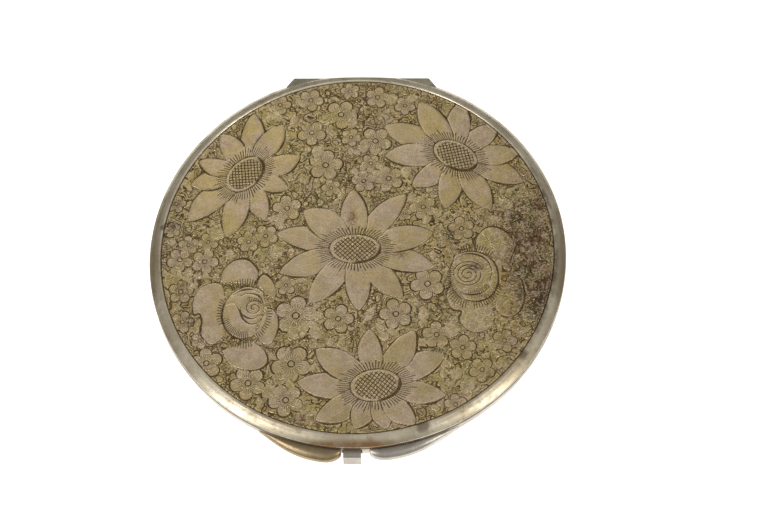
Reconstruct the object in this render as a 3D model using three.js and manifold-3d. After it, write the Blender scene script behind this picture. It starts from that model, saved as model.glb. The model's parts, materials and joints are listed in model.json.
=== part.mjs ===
// Round hinged powder compact, in millimetres, +Z up.
// The origin is the centre of the base's flat bottom. The hinge is at +Y, the catch and its button at -Y.
import * as THREE from "three";
import { mergeVertices } from "three/addons/utils/BufferGeometryUtils.js";
import Module from "manifold-3d";

const wasm = await Module();
wasm.setup();

// ---- Driving dimensions ----
const caseRadius = 38;
const sheet = 0.7; // thickness of the pressed case
const innerRadius = caseRadius - sheet;
const footRadius = 30; // edge of the flat bottom
const baseRimHeight = 9.05;
const lidRimHeight = 9.15;
const closedHeight = 11.2;
const gap = 0.05; // between pieces that are soldered or rest on each other

// Lid: a gently domed top inside a flat border, rolled over to the wall
const borderRadius = 35.9;
const borderHeight = 10.7;
const lidUnderside = borderHeight - sheet;

// Case hinge
const hinge = { y: 36.0, z: 8.75, knuckle: 0.85, bore: 0.48, pin: 0.44, groove: 0.95 };
const hingeHalfLength = 13.3;
const hingeBackEdge = 36.9;
const hingePlateHalf = 14.2;
const hingePlateFront = 34.9;
const basePlateBack = hinge.y - 0.15;
const hingeNotchBottom = 7.0;
const lidNotchTop = 10.02;

// Powder well
const panRadius = 30;
const panFloor = 1.0;
const panFlangeRadius = 35.4;
const panFlangeTop = 6.4;
const panSheet = 0.4;

// Powder door and its small hinge
const doorRadius = 31.2;
const doorBottom = 6.6;
const doorTop = 7.1;
const doorHinge = { y: 32.2, z: 7.05, knuckle: 0.6, bore: 0.34, pin: 0.3 };

// Mirror
const mirrorRadius = 31;
const mirrorFace = 8.0;
const mirrorThickness = 1.2;

// Catch
const button = { left: -1.6, right: 1.5, bottom: 6.0, top: 8.4, rear: -37.7, front: -39.9 };
const stemHalfWidth = 1.2;
const stemTop = 7.0;
const boltFront = -36.25;
const boltThickness = 0.5;
const tongueHalfWidth = 2.4;
const catchNotchHalf = 4.2;
const springEnds = { x: 8.5, y: -33.9 };

// ---- Materials ----
const tarnishedSilver = new THREE.MeshStandardMaterial({ color: 0x9c9180, roughness: 0.42, metalness: 1 });
const satinSilver = new THREE.MeshStandardMaterial({ color: 0xb9b4aa, roughness: 0.32, metalness: 1 });
const giltBrass = new THREE.MeshStandardMaterial({ color: 0xc9a35c, roughness: 0.3, metalness: 1 });
const brassWire = new THREE.MeshStandardMaterial({ color: 0xb08d4f, roughness: 0.35, metalness: 1 });
const springSteel = new THREE.MeshStandardMaterial({ color: 0x8d9096, roughness: 0.3, metalness: 1 });
const silveredGlass = new THREE.MeshStandardMaterial({ color: 0xdfe5e6, roughness: 0.03, metalness: 1 });
const card = new THREE.MeshStandardMaterial({ color: 0x6b5a45, roughness: 0.95, metalness: 0 });
const powder = new THREE.MeshStandardMaterial({ color: 0xe6c4a6, roughness: 1, metalness: 0 });
const gauze = new THREE.MeshStandardMaterial({ color: 0xe9e1d2, roughness: 0.9, metalness: 0 });
const velour = new THREE.MeshStandardMaterial({ color: 0xecc9b6, roughness: 1, metalness: 0 });
const satinRibbon = new THREE.MeshStandardMaterial({ color: 0xe7b9a8, roughness: 0.5, metalness: 0 });

// ---- Solids ----
// A three.js geometry as a manifold-3d solid with its faces pointing out.
function solidFrom(geometry) {
  geometry.deleteAttribute("normal");
  geometry.deleteAttribute("uv");
  const merged = mergeVertices(geometry, 1e-4);
  const corners = merged.index.array;
  const faces = [];
  for (let i = 0; i < corners.length; i += 3) {
    const [a, b, c] = corners.subarray(i, i + 3);
    if (a !== b && b !== c && c !== a) faces.push(a, b, c);
  }
  const vertProperties = merged.attributes.position.array;
  const make = (list) => {
    return new wasm.Manifold(new wasm.Mesh({ numProp: 3, vertProperties, triVerts: Uint32Array.from(list) }));
  };
  const made = make(faces);
  return made.volume() > 0 ? made : make(faces.reverse());
}

// A solid as a named mesh.
function part(name, material, solid) {
  const { vertProperties, triVerts } = solid.getMesh();
  const geometry = new THREE.BufferGeometry();
  geometry.setAttribute("position", new THREE.BufferAttribute(vertProperties, 3));
  geometry.setIndex(new THREE.BufferAttribute(triVerts, 1));
  geometry.computeVertexNormals();
  const mesh = new THREE.Mesh(geometry, material);
  mesh.name = name;
  return mesh;
}

// A closed outline of [radius, height] points turned about the vertical axis.
function turned(outline, steps = 96) {
  const points = outline.map(([radius, height]) => new THREE.Vector2(radius, height));
  const startsOnAxis = outline[0][0] === 0;
  if (!startsOnAxis) points.push(points[0].clone());
  return solidFrom(new THREE.LatheGeometry(points, steps).rotateX(Math.PI / 2));
}

function box(x0, x1, y0, y1, z0, z1) {
  const geometry = new THREE.BoxGeometry(x1 - x0, y1 - y0, z1 - z0);
  return solidFrom(geometry.translate((x0 + x1) / 2, (y0 + y1) / 2, (z0 + z1) / 2));
}

function disc(radius, z0, z1, steps = 72) {
  return turned([[0, z0], [radius, z0], [radius, z1], [0, z1]], steps);
}

// A round rod along X.
function rodAlongX(radius, x0, x1, y, z, sides = 32) {
  const geometry = new THREE.CylinderGeometry(radius, radius, x1 - x0, sides).rotateZ(Math.PI / 2);
  return solidFrom(geometry.translate((x0 + x1) / 2, y, z));
}

function tubeAlongX(outer, inner, x0, x1, y, z) {
  return rodAlongX(outer, x0, x1, y, z).subtract(rodAlongX(inner, x0 - 1, x1 + 1, y, z, 20));
}

// An outline of [x, y] points, given a height.
function slab(outline, z0, z1) {
  const shape = new THREE.Shape(outline.map(([x, y]) => new THREE.Vector2(x, y)));
  const geometry = new THREE.ExtrudeGeometry(shape, { depth: z1 - z0, bevelEnabled: false });
  return solidFrom(geometry.translate(0, 0, z0));
}

// An outline of [y, z] points, drawn out along X.
function barAlongX(outline, x0, x1) {
  const shape = new THREE.Shape(outline.map(([y, z]) => new THREE.Vector2(y, z)));
  const geometry = new THREE.ExtrudeGeometry(shape, { depth: x1 - x0, bevelEnabled: false });
  geometry.rotateX(Math.PI / 2).rotateZ(Math.PI / 2);
  return solidFrom(geometry.translate(x0, 0, 0));
}

// Points along a quarter ellipse from its lowest point out to its widest.
function quarterEllipse(centreRadius, centreHeight, width, drop, steps) {
  const points = [];
  for (let i = 0; i <= steps; i += 1) {
    const angle = ((i / steps) * Math.PI) / 2;
    points.push([centreRadius + width * Math.sin(angle), centreHeight - drop * Math.cos(angle)]);
  }
  return points;
}

// Points across a shallow dome from a radius in to the axis.
function domePoints(radius, edgeHeight, crownHeight, steps) {
  const points = [];
  for (let i = 0; i <= steps; i += 1) {
    const share = 1 - i / steps;
    points.push([radius * share, crownHeight - (crownHeight - edgeHeight) * share * share]);
  }
  return points;
}

// ---- Base ----
const bowlCentreHeight = 8.5;

function baseShell() {
  const outside = quarterEllipse(footRadius, bowlCentreHeight, caseRadius - footRadius, bowlCentreHeight, 10);
  const inside = quarterEllipse(
    footRadius, bowlCentreHeight, innerRadius - footRadius, bowlCentreHeight - sheet, 7,
  );
  const bowl = turned([
    [0, 0],
    ...outside,
    [caseRadius, baseRimHeight],
    [innerRadius, baseRimHeight],
    ...inside.reverse(),
    [0, sheet],
  ]);
  const hingeNotch = box(
    -hingePlateHalf - 0.1, hingePlateHalf + 0.1, hingePlateFront - gap, caseRadius + 1, hingeNotchBottom, 12,
  );
  const buttonSlot = box(button.left - 0.2, button.right + 0.2, -40, -36.5, button.bottom - 0.15, button.top + 0.15);
  return bowl.subtract(hingeNotch).subtract(buttonSlot);
}

// The thin upstand soldered inside the base's rim, which the lid closes over. Its foot runs all the way round.
function baseRimBezel() {
  const foot = 5.4;
  const footTop = 5.9;
  const ring = turned([
    [35.6, foot], [36.5, foot], [36.5, footTop], [36.2, footTop], [36.2, 9.6], [36.1, 9.75], [35.6, 9.75],
  ]);
  const hingeNotch = box(-hingePlateHalf - 0.3, hingePlateHalf + 0.3, 30, 40, footTop, 12);
  const catchNotch = box(-catchNotchHalf, catchNotchHalf, -40, -30, footTop, 12);
  return ring.subtract(hingeNotch).subtract(catchNotch);
}

// Groove that the case hinge's knuckles turn in.
function hingeGroove() {
  return rodAlongX(hinge.groove, -20, 20, hinge.y, hinge.z, 40);
}

function baseHingePlate() {
  const cornerX = hingePlateHalf - 0.6;
  const wall = slab(
    [
      [-hingePlateHalf, hingePlateFront], [hingePlateHalf, hingePlateFront],
      [hingePlateHalf, hingePlateFront + 0.2], [cornerX, basePlateBack],
      [-cornerX, basePlateBack], [-hingePlateHalf, hingePlateFront + 0.2],
    ],
    hingeNotchBottom + gap, 8.75,
  );
  const ledgeTop = hingeNotchBottom + 0.1;
  const ledgeEnvelope = disc(36.8, 6.4, ledgeTop);
  const ledge = box(-hingePlateHalf, hingePlateHalf, hingePlateFront, 38, 6.4, ledgeTop);
  return wall.add(ledge.intersect(ledgeEnvelope)).subtract(hingeGroove());
}

// Crescent bulge beside the button: sections across the rim, swept from a thin tail to a full round end.
function catchCheek(tailX, buttonX, fullness) {
  const steps = 22;
  const sides = 10;
  const root = caseRadius + gap;
  const middle = 7.5;
  const halfHeight = 1.25;
  const angleOf = (x) => Math.asin(x / caseRadius);
  const positions = [];
  const ringOf = (step) => {
    const share = step / steps;
    const angle = THREE.MathUtils.lerp(angleOf(tailX), angleOf(buttonX), share);
    const rise = Math.sin((Math.PI / 2) * Math.min(1, (share + 0.02) / 0.75)) ** 1.25;
    const roundEnd = Math.sqrt(1 - Math.max(0, (share - 0.8) / 0.21) ** 2);
    const bulge = Math.max(0.1, fullness * rise * roundEnd);
    const tall = halfHeight * (0.35 + 0.65 * Math.sqrt(rise * roundEnd));
    const ring = [];
    for (let i = 0; i <= sides; i += 1) {
      const turn = -Math.PI / 2 + (Math.PI * i) / sides;
      const radius = root + bulge * Math.cos(turn);
      ring.push([radius * Math.sin(angle), -radius * Math.cos(angle), middle + tall * Math.sin(turn)]);
    }
    return ring;
  };
  for (let step = 0; step <= steps; step += 1) positions.push(...ringOf(step).flat());
  const count = sides + 1;
  const faces = [];
  for (let step = 0; step < steps; step += 1) {
    for (let i = 0; i < count; i += 1) {
      const next = (i + 1) % count;
      const a = step * count + i;
      const b = step * count + next;
      faces.push(a, b, b + count, a, b + count, a + count);
    }
  }
  for (let i = 1; i < sides; i += 1) {
    faces.push(0, i + 1, i);
    const last = steps * count;
    faces.push(last, last + i, last + i + 1);
  }
  const geometry = new THREE.BufferGeometry();
  geometry.setAttribute("position", new THREE.Float32BufferAttribute(positions, 3));
  geometry.setIndex(faces);
  return solidFrom(geometry);
}

// ---- Powder well ----
function powderPan() {
  const wall = panRadius - panSheet;
  const underFlange = panFlangeTop - panSheet;
  const tray = turned([
    [0, panFloor], [panRadius - 1, panFloor], [panRadius, panFloor + 1], [panRadius, underFlange],
    [panFlangeRadius, underFlange], [panFlangeRadius, panFlangeTop], [wall, panFlangeTop],
    [wall, panFloor + 1.15], [panRadius - 1.15, panFloor + panSheet], [0, panFloor + panSheet],
  ]);
  const hingeNotch = box(-hingePlateHalf - 0.3, hingePlateHalf + 0.3, hingePlateFront - 0.2, 40, 0.5, 12);
  return tray.subtract(hingeNotch);
}

function powderCake() {
  const top = 3.0;
  const bottom = panFloor + panSheet + gap;
  return turned([[0, bottom], [28.4, bottom], [29.3, bottom + 0.9], [29.3, top], [0, top]], 72);
}

// Ring with a ledge inside it, which the gauze rests on.
function sifterRing() {
  const bottom = 3.1;
  return turned(
    [[28.1, bottom], [29.4, bottom], [29.4, 3.9], [28.85, 3.9], [28.85, bottom + 0.3], [28.1, bottom + 0.3]], 72,
  );
}

function powderPuff() {
  const radius = 27.8;
  const bottom = 3.75;
  const top = 6.1;
  const round = (top - bottom) / 2;
  const edge = [];
  for (let i = 0; i <= 8; i += 1) {
    const turn = -Math.PI / 2 + (Math.PI * i) / 8;
    edge.push([radius - round + round * Math.cos(turn), bottom + round + round * Math.sin(turn)]);
  }
  return turned([[0, bottom], ...edge, [0, top]], 72);
}

function puffRibbon() {
  return box(-26.2, 26.2, -5.5, 5.5, 6.15, 6.45);
}

// ---- Powder door ----
function doorPlate() {
  const tab = box(-3.4, 3.4, doorRadius - 2, doorHinge.y - doorHinge.knuckle - gap, doorBottom, doorTop);
  const raisedEdge = turned([
    [doorRadius - 1.6, doorTop - 0.1], [doorRadius, doorTop - 0.1], [doorRadius, doorTop],
    [doorRadius - 0.4, doorTop + 0.25], [doorRadius - 1.1, doorTop + 0.25], [doorRadius - 1.6, doorTop],
  ]);
  return disc(doorRadius, doorBottom, doorTop, 96).add(raisedEdge).add(tab);
}

function doorFingerLip() {
  const width = 4;
  const outline = [];
  for (let i = 0; i <= 14; i += 1) {
    const turn = Math.PI + (Math.PI * i) / 14;
    outline.push([width * Math.cos(turn), -31.35 + 2.1 * Math.sin(turn)]);
  }
  return slab(outline, 6.7, 7.3);
}

// ---- Lid ----
function lidShell() {
  const outsideDome = domePoints(borderRadius, borderHeight, closedHeight, 5);
  const insideDome = domePoints(borderRadius - 0.7, lidUnderside, closedHeight - sheet, 4);
  const cover = turned([
    [caseRadius, lidRimHeight], [caseRadius, 9.55], [37.85, 9.85], [37.45, 10.14], [36.9, 10.36], [36.35, 10.5],
    ...outsideDome,
    ...insideDome.reverse(),
    [36.2, 9.86], [36.9, 9.66], [innerRadius, 9.4], [innerRadius, lidRimHeight],
  ]);
  const underHinge = box(
    -hingePlateHalf - 0.1, hingePlateHalf + 0.1, hingePlateFront - gap, 40, 8, lidNotchTop,
  );
  const behindHinge = box(-20, 20, hingeBackEdge, 40, 8, 12);
  return cover.subtract(underHinge).subtract(behindHinge);
}

function lidHingePlate() {
  const cornerX = hingePlateHalf - 1.4;
  const bar = slab(
    [
      [-hingePlateHalf, hingePlateFront], [hingePlateHalf, hingePlateFront],
      [hingePlateHalf, hingePlateFront + 0.2], [cornerX, hingeBackEdge],
      [-cornerX, hingeBackEdge], [-hingePlateHalf, hingePlateFront + 0.2],
    ],
    lidRimHeight, lidNotchTop - gap,
  );
  return bar.subtract(hingeGroove());
}

function mirrorBezel() {
  const lip = mirrorFace - gap;
  return turned([
    [mirrorRadius - 0.8, lip - 0.15], [32.2, lip - 0.15], [32.4, lip], [32.4, 9.95],
    [mirrorRadius + 0.5, 9.95], [mirrorRadius + 0.5, lip], [mirrorRadius - 0.8, lip],
  ]);
}

// Tongue that hangs from the front of the lid, with the barb that the bolt holds.
function lidCatchTongue() {
  const outline = [
    [-37.0, 7.3], [-36.85, 7.2], [-36.6, 7.2], [-36.35, 7.45], [-36.35, 7.75], [-36.6, 7.85], [-36.6, 9.4],
    [-34.4, 9.4], [-34.4, 9.78], [-36.0, 9.78], [-36.5, 9.66], [-37.0, 9.42],
  ];
  return barAlongX(outline, -tongueHalfWidth, tongueHalfWidth);
}

// ---- Push button and bolt ----
function pushButton() {
  const face = [
    [button.rear, button.bottom], [-39.4, button.bottom], [button.front + 0.1, button.bottom + 0.2],
    [button.front, button.bottom + 0.7], [-39.3, 8.2], [-39.05, button.top], [button.rear, button.top],
  ];
  const head = barAlongX(face, button.left, button.right);
  const stem = box(
    -stemHalfWidth, stemHalfWidth, button.rear - 0.1, boltFront - gap, button.bottom + 0.05, stemTop,
  );
  return head.add(stem);
}

function catchBolt() {
  const rear = boltFront + boltThickness;
  const outline = [
    [boltFront, 6.55], [rear, 6.55], [rear, 8.6], [boltFront + 0.2, 8.6], [boltFront, 8.2],
  ];
  return barAlongX(outline, -3, 3);
}

// Bowed leaf behind the bolt, held by a post at each end.
function catchSpring() {
  const middleY = boltFront + boltThickness + 0.1;
  const bow = springEnds.y - middleY;
  const radius = (springEnds.x ** 2 + bow ** 2) / (2 * bow);
  const centreY = middleY + radius;
  const spread = Math.asin(springEnds.x / radius);
  const leaf = 0.22;
  const outline = [];
  for (const [r, direction] of [[radius, 1], [radius - leaf, -1]]) {
    for (let i = 0; i <= 16; i += 1) {
      const turn = direction * spread * ((2 * i) / 16 - 1);
      outline.push([r * Math.sin(turn), centreY - r * Math.cos(turn)]);
    }
  }
  return slab(outline, 6.5, 7.5);
}

function springPost(side) {
  const geometry = new THREE.CylinderGeometry(0.5, 0.5, 1.2, 20).rotateX(Math.PI / 2);
  return solidFrom(geometry.translate(side * (springEnds.x + 0.65), springEnds.y + 0.35, panFlangeTop + gap + 0.6));
}

// ---- Assembly ----
const compact = new THREE.Group();

function addBase() {
  const base = new THREE.Group();
  base.add(
    part("base_shell", tarnishedSilver, baseShell()),
    part("base_rim_bezel", giltBrass, baseRimBezel()),
    part("base_hinge_plate", satinSilver, baseHingePlate()),
    part("catch_cheek_left", tarnishedSilver, catchCheek(-16.5, -2.0, 2.2)),
    part("catch_cheek_right", satinSilver, catchCheek(18.6, 3.0, 1.85)),
    part("powder_pan", giltBrass, powderPan()),
    part("powder_cake", powder, powderCake()),
    part("sifter_ring", giltBrass, sifterRing()),
    part("sifter_gauze", gauze, disc(28.75, 3.45, 3.65)),
    part("puff", velour, powderPuff()),
    part("puff_ribbon", satinRibbon, puffRibbon()),
    part("catch_spring", springSteel, catchSpring()),
    part("catch_spring_post_left", brassWire, springPost(-1)),
    part("catch_spring_post_right", brassWire, springPost(1)),
  );
  compact.add(base);
}

function addLid() {
  const lid = new THREE.Group();
  const cardBottom = mirrorFace + mirrorThickness + gap;
  lid.add(
    part("lid_shell", tarnishedSilver, lidShell()),
    part("lid_hinge_plate", satinSilver, lidHingePlate()),
    part("mirror_glass", silveredGlass, disc(mirrorRadius, mirrorFace, mirrorFace + mirrorThickness)),
    part("mirror_backing_card", card, disc(mirrorRadius + 0.2, cardBottom, cardBottom + 0.35)),
    part("mirror_bezel", giltBrass, mirrorBezel()),
    part("lid_catch_tongue", giltBrass, lidCatchTongue()),
  );
  compact.add(lid);
}

// Five knuckles on one pin: the odd ones belong to the base and the even ones to the lid.
function addCaseHinge() {
  const names = [
    "base_knuckle_left", "lid_knuckle_left", "base_knuckle_centre", "lid_knuckle_right", "base_knuckle_right",
  ];
  const pitch = (2 * hingeHalfLength) / names.length;
  names.forEach((name, i) => {
    const start = -hingeHalfLength + i * pitch + gap;
    const tube = tubeAlongX(hinge.knuckle, hinge.bore, start, start + pitch - 2 * gap, hinge.y, hinge.z);
    compact.add(part(name, satinSilver, tube));
  });
  const pin = rodAlongX(hinge.pin, -hingeHalfLength - 0.2, hingeHalfLength + 0.2, hinge.y, hinge.z, 20);
  compact.add(part("hinge_pin", brassWire, pin));
}

function addPowderDoor() {
  const knuckles = [
    ["door_base_knuckle_left", -7.5, -3.7], ["door_knuckle", -3.6, 3.6], ["door_base_knuckle_right", 3.7, 7.5],
  ];
  for (const [name, x0, x1] of knuckles) {
    const tube = tubeAlongX(doorHinge.knuckle, doorHinge.bore, x0, x1, doorHinge.y, doorHinge.z);
    compact.add(part(name, giltBrass, tube));
  }
  compact.add(
    part("door_hinge_pin", brassWire, rodAlongX(doorHinge.pin, -7.7, 7.7, doorHinge.y, doorHinge.z, 16)),
    part("door_plate", giltBrass, doorPlate()),
    part("door_finger_lip", giltBrass, doorFingerLip().subtract(disc(doorRadius + gap, 6, 8, 96))),
  );
}

function addButton() {
  compact.add(part("push_button", satinSilver, pushButton()), part("catch_bolt", springSteel, catchBolt()));
}

addBase();
addLid();
addCaseHinge();
addPowderDoor();
addButton();

export default compact;
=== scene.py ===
"""Looks of the round powder compact: engraved lid, satin case, gilt inside, mirror, puff and catch.

Every size below is in millimetres in the part's own frame, and MM turns it into Blender's metres.
"""

import json
import math

import bmesh
import bpy
import numpy as np
from mathutils import Matrix, Vector
from mathutils.bvhtree import BVHTree


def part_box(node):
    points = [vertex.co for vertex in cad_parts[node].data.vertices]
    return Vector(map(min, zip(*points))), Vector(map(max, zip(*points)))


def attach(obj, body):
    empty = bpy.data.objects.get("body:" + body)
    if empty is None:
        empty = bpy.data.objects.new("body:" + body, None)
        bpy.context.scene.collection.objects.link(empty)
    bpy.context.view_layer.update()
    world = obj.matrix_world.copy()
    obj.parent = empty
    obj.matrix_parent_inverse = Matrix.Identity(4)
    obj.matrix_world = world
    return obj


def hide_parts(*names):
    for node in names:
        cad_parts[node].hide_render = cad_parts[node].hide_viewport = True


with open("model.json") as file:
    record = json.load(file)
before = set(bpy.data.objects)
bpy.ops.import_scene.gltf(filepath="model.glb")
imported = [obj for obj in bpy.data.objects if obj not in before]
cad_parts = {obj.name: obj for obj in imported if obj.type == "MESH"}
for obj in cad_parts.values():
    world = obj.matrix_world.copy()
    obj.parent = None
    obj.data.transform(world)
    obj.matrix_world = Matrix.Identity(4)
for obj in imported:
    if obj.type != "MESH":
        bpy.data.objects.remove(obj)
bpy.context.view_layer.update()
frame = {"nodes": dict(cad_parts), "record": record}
MM = 0.001

# ---- Sizes that the looks share with the case ----
CASE_RADIUS = 38.0
BORDER_RADIUS = 35.9
BORDER_HEIGHT = 10.7
CROWN_HEIGHT = 11.2
PANEL_RADIUS = 35.8
SEAM_HEIGHT = 9.1
HINGE_BACK = 36.9
HINGE_HALF = 14.2

# ---- Hinge axes, as y and z ----
LID_AXIS = (36.0, 8.75)
DOOR_AXIS = (32.2, 7.05)

# ---- Blossoms: how deep the notch between petals is, and how round each petal is ----
BLOSSOM_WAIST = 0.44
BLOSSOM_LOBE = 0.42

# ---- Camera ----
VIEW_AZIMUTH = 6.0
VIEW_ELEVATION = 63.18
VIEW_ROLL = -5.25
VIEW_DISTANCE = 360.0
LENS = 92.8
SHIFT = (0.0354, -0.0070)


def place_camera():
    """The camera looks at the middle of the lid from the catch side, a little rolled."""
    azimuth = math.radians(VIEW_AZIMUTH)
    elevation = math.radians(VIEW_ELEVATION)
    roll = math.radians(VIEW_ROLL)
    back = Vector((math.sin(azimuth) * math.cos(elevation), -math.cos(azimuth) * math.cos(elevation),
                   math.sin(elevation)))
    level = Vector((0, 0, 1)).cross(back).normalized()
    upright = back.cross(level)
    right = math.cos(roll) * level + math.sin(roll) * upright
    up = -math.sin(roll) * level + math.cos(roll) * upright
    turn = Matrix((right, up, back)).transposed().to_4x4()
    camera = bpy.data.objects.new("camera", bpy.data.cameras.new("camera"))
    target = Vector((0, 0, BORDER_HEIGHT)) * MM
    camera.matrix_world = Matrix.Translation(target + back * VIEW_DISTANCE * MM) @ turn
    camera.data.lens = LENS
    camera.data.sensor_width = 36
    camera.data.shift_x, camera.data.shift_y = SHIFT
    camera.data.clip_start = 0.01
    camera.data.clip_end = 10
    bpy.context.collection.objects.link(camera)
    bpy.context.scene.camera = camera


place_camera()
bpy.context.scene.view_settings.view_transform = "Standard"


# ---- Materials ----
class Value:
    """A number or colour that varies over a material. Sums of values make nodes that work them out."""

    def __init__(self, paint, socket):
        self.paint = paint
        self.socket = socket

    def maths(self, operation, other=0.0):
        return self.paint.node("Math", {0: self, 1: other}, operation=operation)

    def __mul__(self, other):
        return self.maths("MULTIPLY", other)

    def __add__(self, other):
        return self.maths("ADD", other)

    def __sub__(self, other):
        return self.maths("SUBTRACT", other)

    def __rsub__(self, other):
        return self.paint.node("Math", {0: other, 1: self}, operation="SUBTRACT")

    def __pow__(self, other):
        return self.maths("POWER", other)

    def __or__(self, other):
        """The larger of the two."""
        return self.maths("MAXIMUM", other)

    def __abs__(self):
        return self.maths("ABSOLUTE")

    def length(self, other):
        """Length of the arrow that these two are the sides of."""
        return (self * self + other * other).maths("SQRT")

    def spread(self, low, high, out_low=0.0, out_high=1.0):
        """The value between low and high, moved softly to lie between out_low and out_high."""
        values = {0: self, 1: low, 2: high, 3: out_low, 4: out_high}
        return self.paint.node("MapRange", values, interpolation_type="SMOOTHSTEP")

    def fade(self, low, high, full=1.0):
        """full where the value is under low, falling to nothing at high."""
        return self.spread(low, high, full, 0.0)

    def cuts(self, count, low, high):
        """Even lines, count of them for every pi of the value, their edges between low and high."""
        return abs((self * count).maths("SINE")).fade(low, high)

    def along(self, scale=1.0, detail=1.0, roughness=0.5):
        """Noise that changes with this value only, scale blotches for each whole step of it."""
        line = self.paint.node("CombineXYZ", {"X": self})
        return self.paint.noise(scale * MM, detail, roughness, 0.0, line)


class Paint:
    """A material's nodes, with a short call for each pattern that is used here."""

    # Threads in one unit of Blender's wave texture at scale 1
    WAVES_PER_UNIT = 3.1831

    def __init__(self, name, **surface):
        self.material = bpy.data.materials.new(name)
        self.material.use_nodes = True
        self.tree = self.material.node_tree
        self.surface = self.tree.nodes["Principled BSDF"]
        self.place = self.node("TexCoord", {}, "Object")
        for socket, value in surface.items():
            self.surface.inputs[socket.replace("_", " ")].default_value = value

    def feed(self, node, socket, value):
        if isinstance(value, Value):
            self.tree.links.new(value.socket, node.inputs[socket])
        else:
            node.inputs[socket].default_value = value

    def node(self, kind, values, output=0, **settings):
        """What a new node gives out. values holds what goes into each of its sockets."""
        node = self.tree.nodes.new("ShaderNode" + kind)
        for name, setting in settings.items():
            setattr(node, name, setting)
        for socket, value in values.items():
            self.feed(node, socket, value)
        return Value(self, node.outputs[output])

    def finish(self, colour, normal=None, roughness=None):
        """Joins the last nodes to the surface."""
        for socket, value in (("Base Color", colour), ("Normal", normal), ("Roughness", roughness)):
            if value is not None:
                self.feed(self.surface, socket, value)
        return self.material

    def attribute(self, name):
        return self.node("Attribute", {}, "Fac", attribute_name=name)

    def axes(self):
        """The place on the object as X, Y and Z, in metres."""
        return [self.node("SeparateXYZ", {0: self.place}, axis) for axis in "XYZ"]

    def radius(self):
        """Distance from the object's upright axis, in metres."""
        x, y = self.axes()[:2]
        return x.length(y)

    def stretch(self, scale, turn=(0, 0, 0)):
        return self.node("Mapping", {"Vector": self.place, "Scale": scale, "Rotation": turn})

    def noise(self, per_mm, detail=3.0, roughness=0.55, distortion=0.0, vector=None):
        """Soft noise with per_mm blotches in each millimetre."""
        values = {"Vector": vector or self.place, "Scale": per_mm / MM, "Detail": detail,
                  "Roughness": roughness, "Distortion": distortion}
        return self.node("TexNoise", values, "Fac")

    def turned_marks(self, per_mm):
        """Fine rings round the upright axis, as a lathe or a buffing wheel leaves them."""
        return self.radius().along(per_mm / MM, 2.0, 0.6)

    def warped(self, per_mm, shift):
        """The place on the object, moved about by up to shift millimetres of soft noise."""
        noise = self.node("TexNoise", {"Vector": self.place, "Scale": per_mm / MM}, "Color")
        values = {0: noise, 1: (2 * shift * MM,) * 3, 2: self.place}
        return self.node("VectorMath", values, operation="MULTIPLY_ADD")

    def cells(self, per_mm, feature="F1", vector=None):
        values = {"Vector": vector or self.place, "Scale": per_mm / MM}
        return self.node("TexVoronoi", values, "Distance", feature=feature)

    def threads(self, per_mm, direction):
        """Threads side by side along a direction."""
        values = {"Vector": self.place, "Scale": per_mm / MM / self.WAVES_PER_UNIT, "Distortion": 0.6}
        return self.node("TexWave", values, "Fac", bands_direction=direction)

    def spots(self, places):
        """Dark ragged spots at x, y with a radius, all in millimetres, seen from above."""
        ragged = 0.8
        flat = self.node("VectorMath", {0: self.warped(0.7, ragged), 1: (1, 1, 0)}, operation="MULTIPLY")
        dark = 0.0
        for x, y, size in places:
            middle = ((x + ragged) * MM, (y + ragged) * MM, 0)
            away = self.node("VectorMath", {0: flat, 1: middle}, "Value", operation="DISTANCE")
            dark = away.fade(size * 0.3 * MM, size * MM) | dark
        return dark

    def mix(self, share, a, b, how="MIX"):
        a, b = (value if isinstance(value, Value) else (*value, 1.0) for value in (a, b))
        return self.node("Mix", {"Factor": share, 6: a, 7: b}, 2, data_type="RGBA", blend_type=how)

    def bump(self, height, strength, depth, under=None):
        values = {"Height": height, "Strength": strength, "Distance": depth * MM}
        if under is not None:
            values["Normal"] = under
        return self.node("Bump", values, "Normal")


def seed_cuts(paint):
    """Crossing cuts inside each sunflower's seed disc, and cuts of uneven length that stand round it."""
    u, v = paint.attribute("disc_u"), paint.attribute("disc_v")
    reach, angle = u.length(v), v.maths("ARCTAN2", u)
    lattice = 0.0
    for lean in (0.72, -0.72):
        lattice = (u * (4.6 * lean) + v * 2.1).cuts(5.0, 0.12, 0.48) | lattice
    tip = (angle * 9.0).along() * 0.95 + 1.05
    fringe = angle.cuts(34.0, 0.14, 0.55) * reach.spread(1.0, 1.06) * (reach - tip).fade(-0.12, 0.05)
    return lattice * reach.fade(0.80, 0.86) | fringe


def rose_hatch(paint):
    """Short cuts that stand in rows along a rose's folds."""
    phase = paint.attribute("phase")
    reach = paint.attribute("hatch") - (phase * 2.3).along() * 0.9
    return phase.cuts(7.4, 0.12, 0.55) * reach.spread(0.0, 0.2)


def blossom_lines(paint):
    """Outline of five round petals, an eye, and short cuts from the eye into each petal."""
    u, v = paint.attribute("bloom_u"), paint.attribute("bloom_v")
    reach, angle = u.length(v), v.maths("ARCTAN2", u)
    edge = abs((angle * 2.5).maths("COSINE")) ** BLOSSOM_LOBE * (1 - BLOSSOM_WAIST) + BLOSSOM_WAIST
    outline = abs(reach - edge).fade(0.015, 0.06)
    rays = angle.cuts(12.5, 0.05, 0.38) * reach.fade(0.40, 0.70, 0.8) * reach.spread(0.2, 0.26)
    eye = abs(reach - 0.16).fade(0.01, 0.045, 0.9)
    return (outline | rays | eye) * paint.attribute("bloom").spread(0.5, 0.9)


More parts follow.
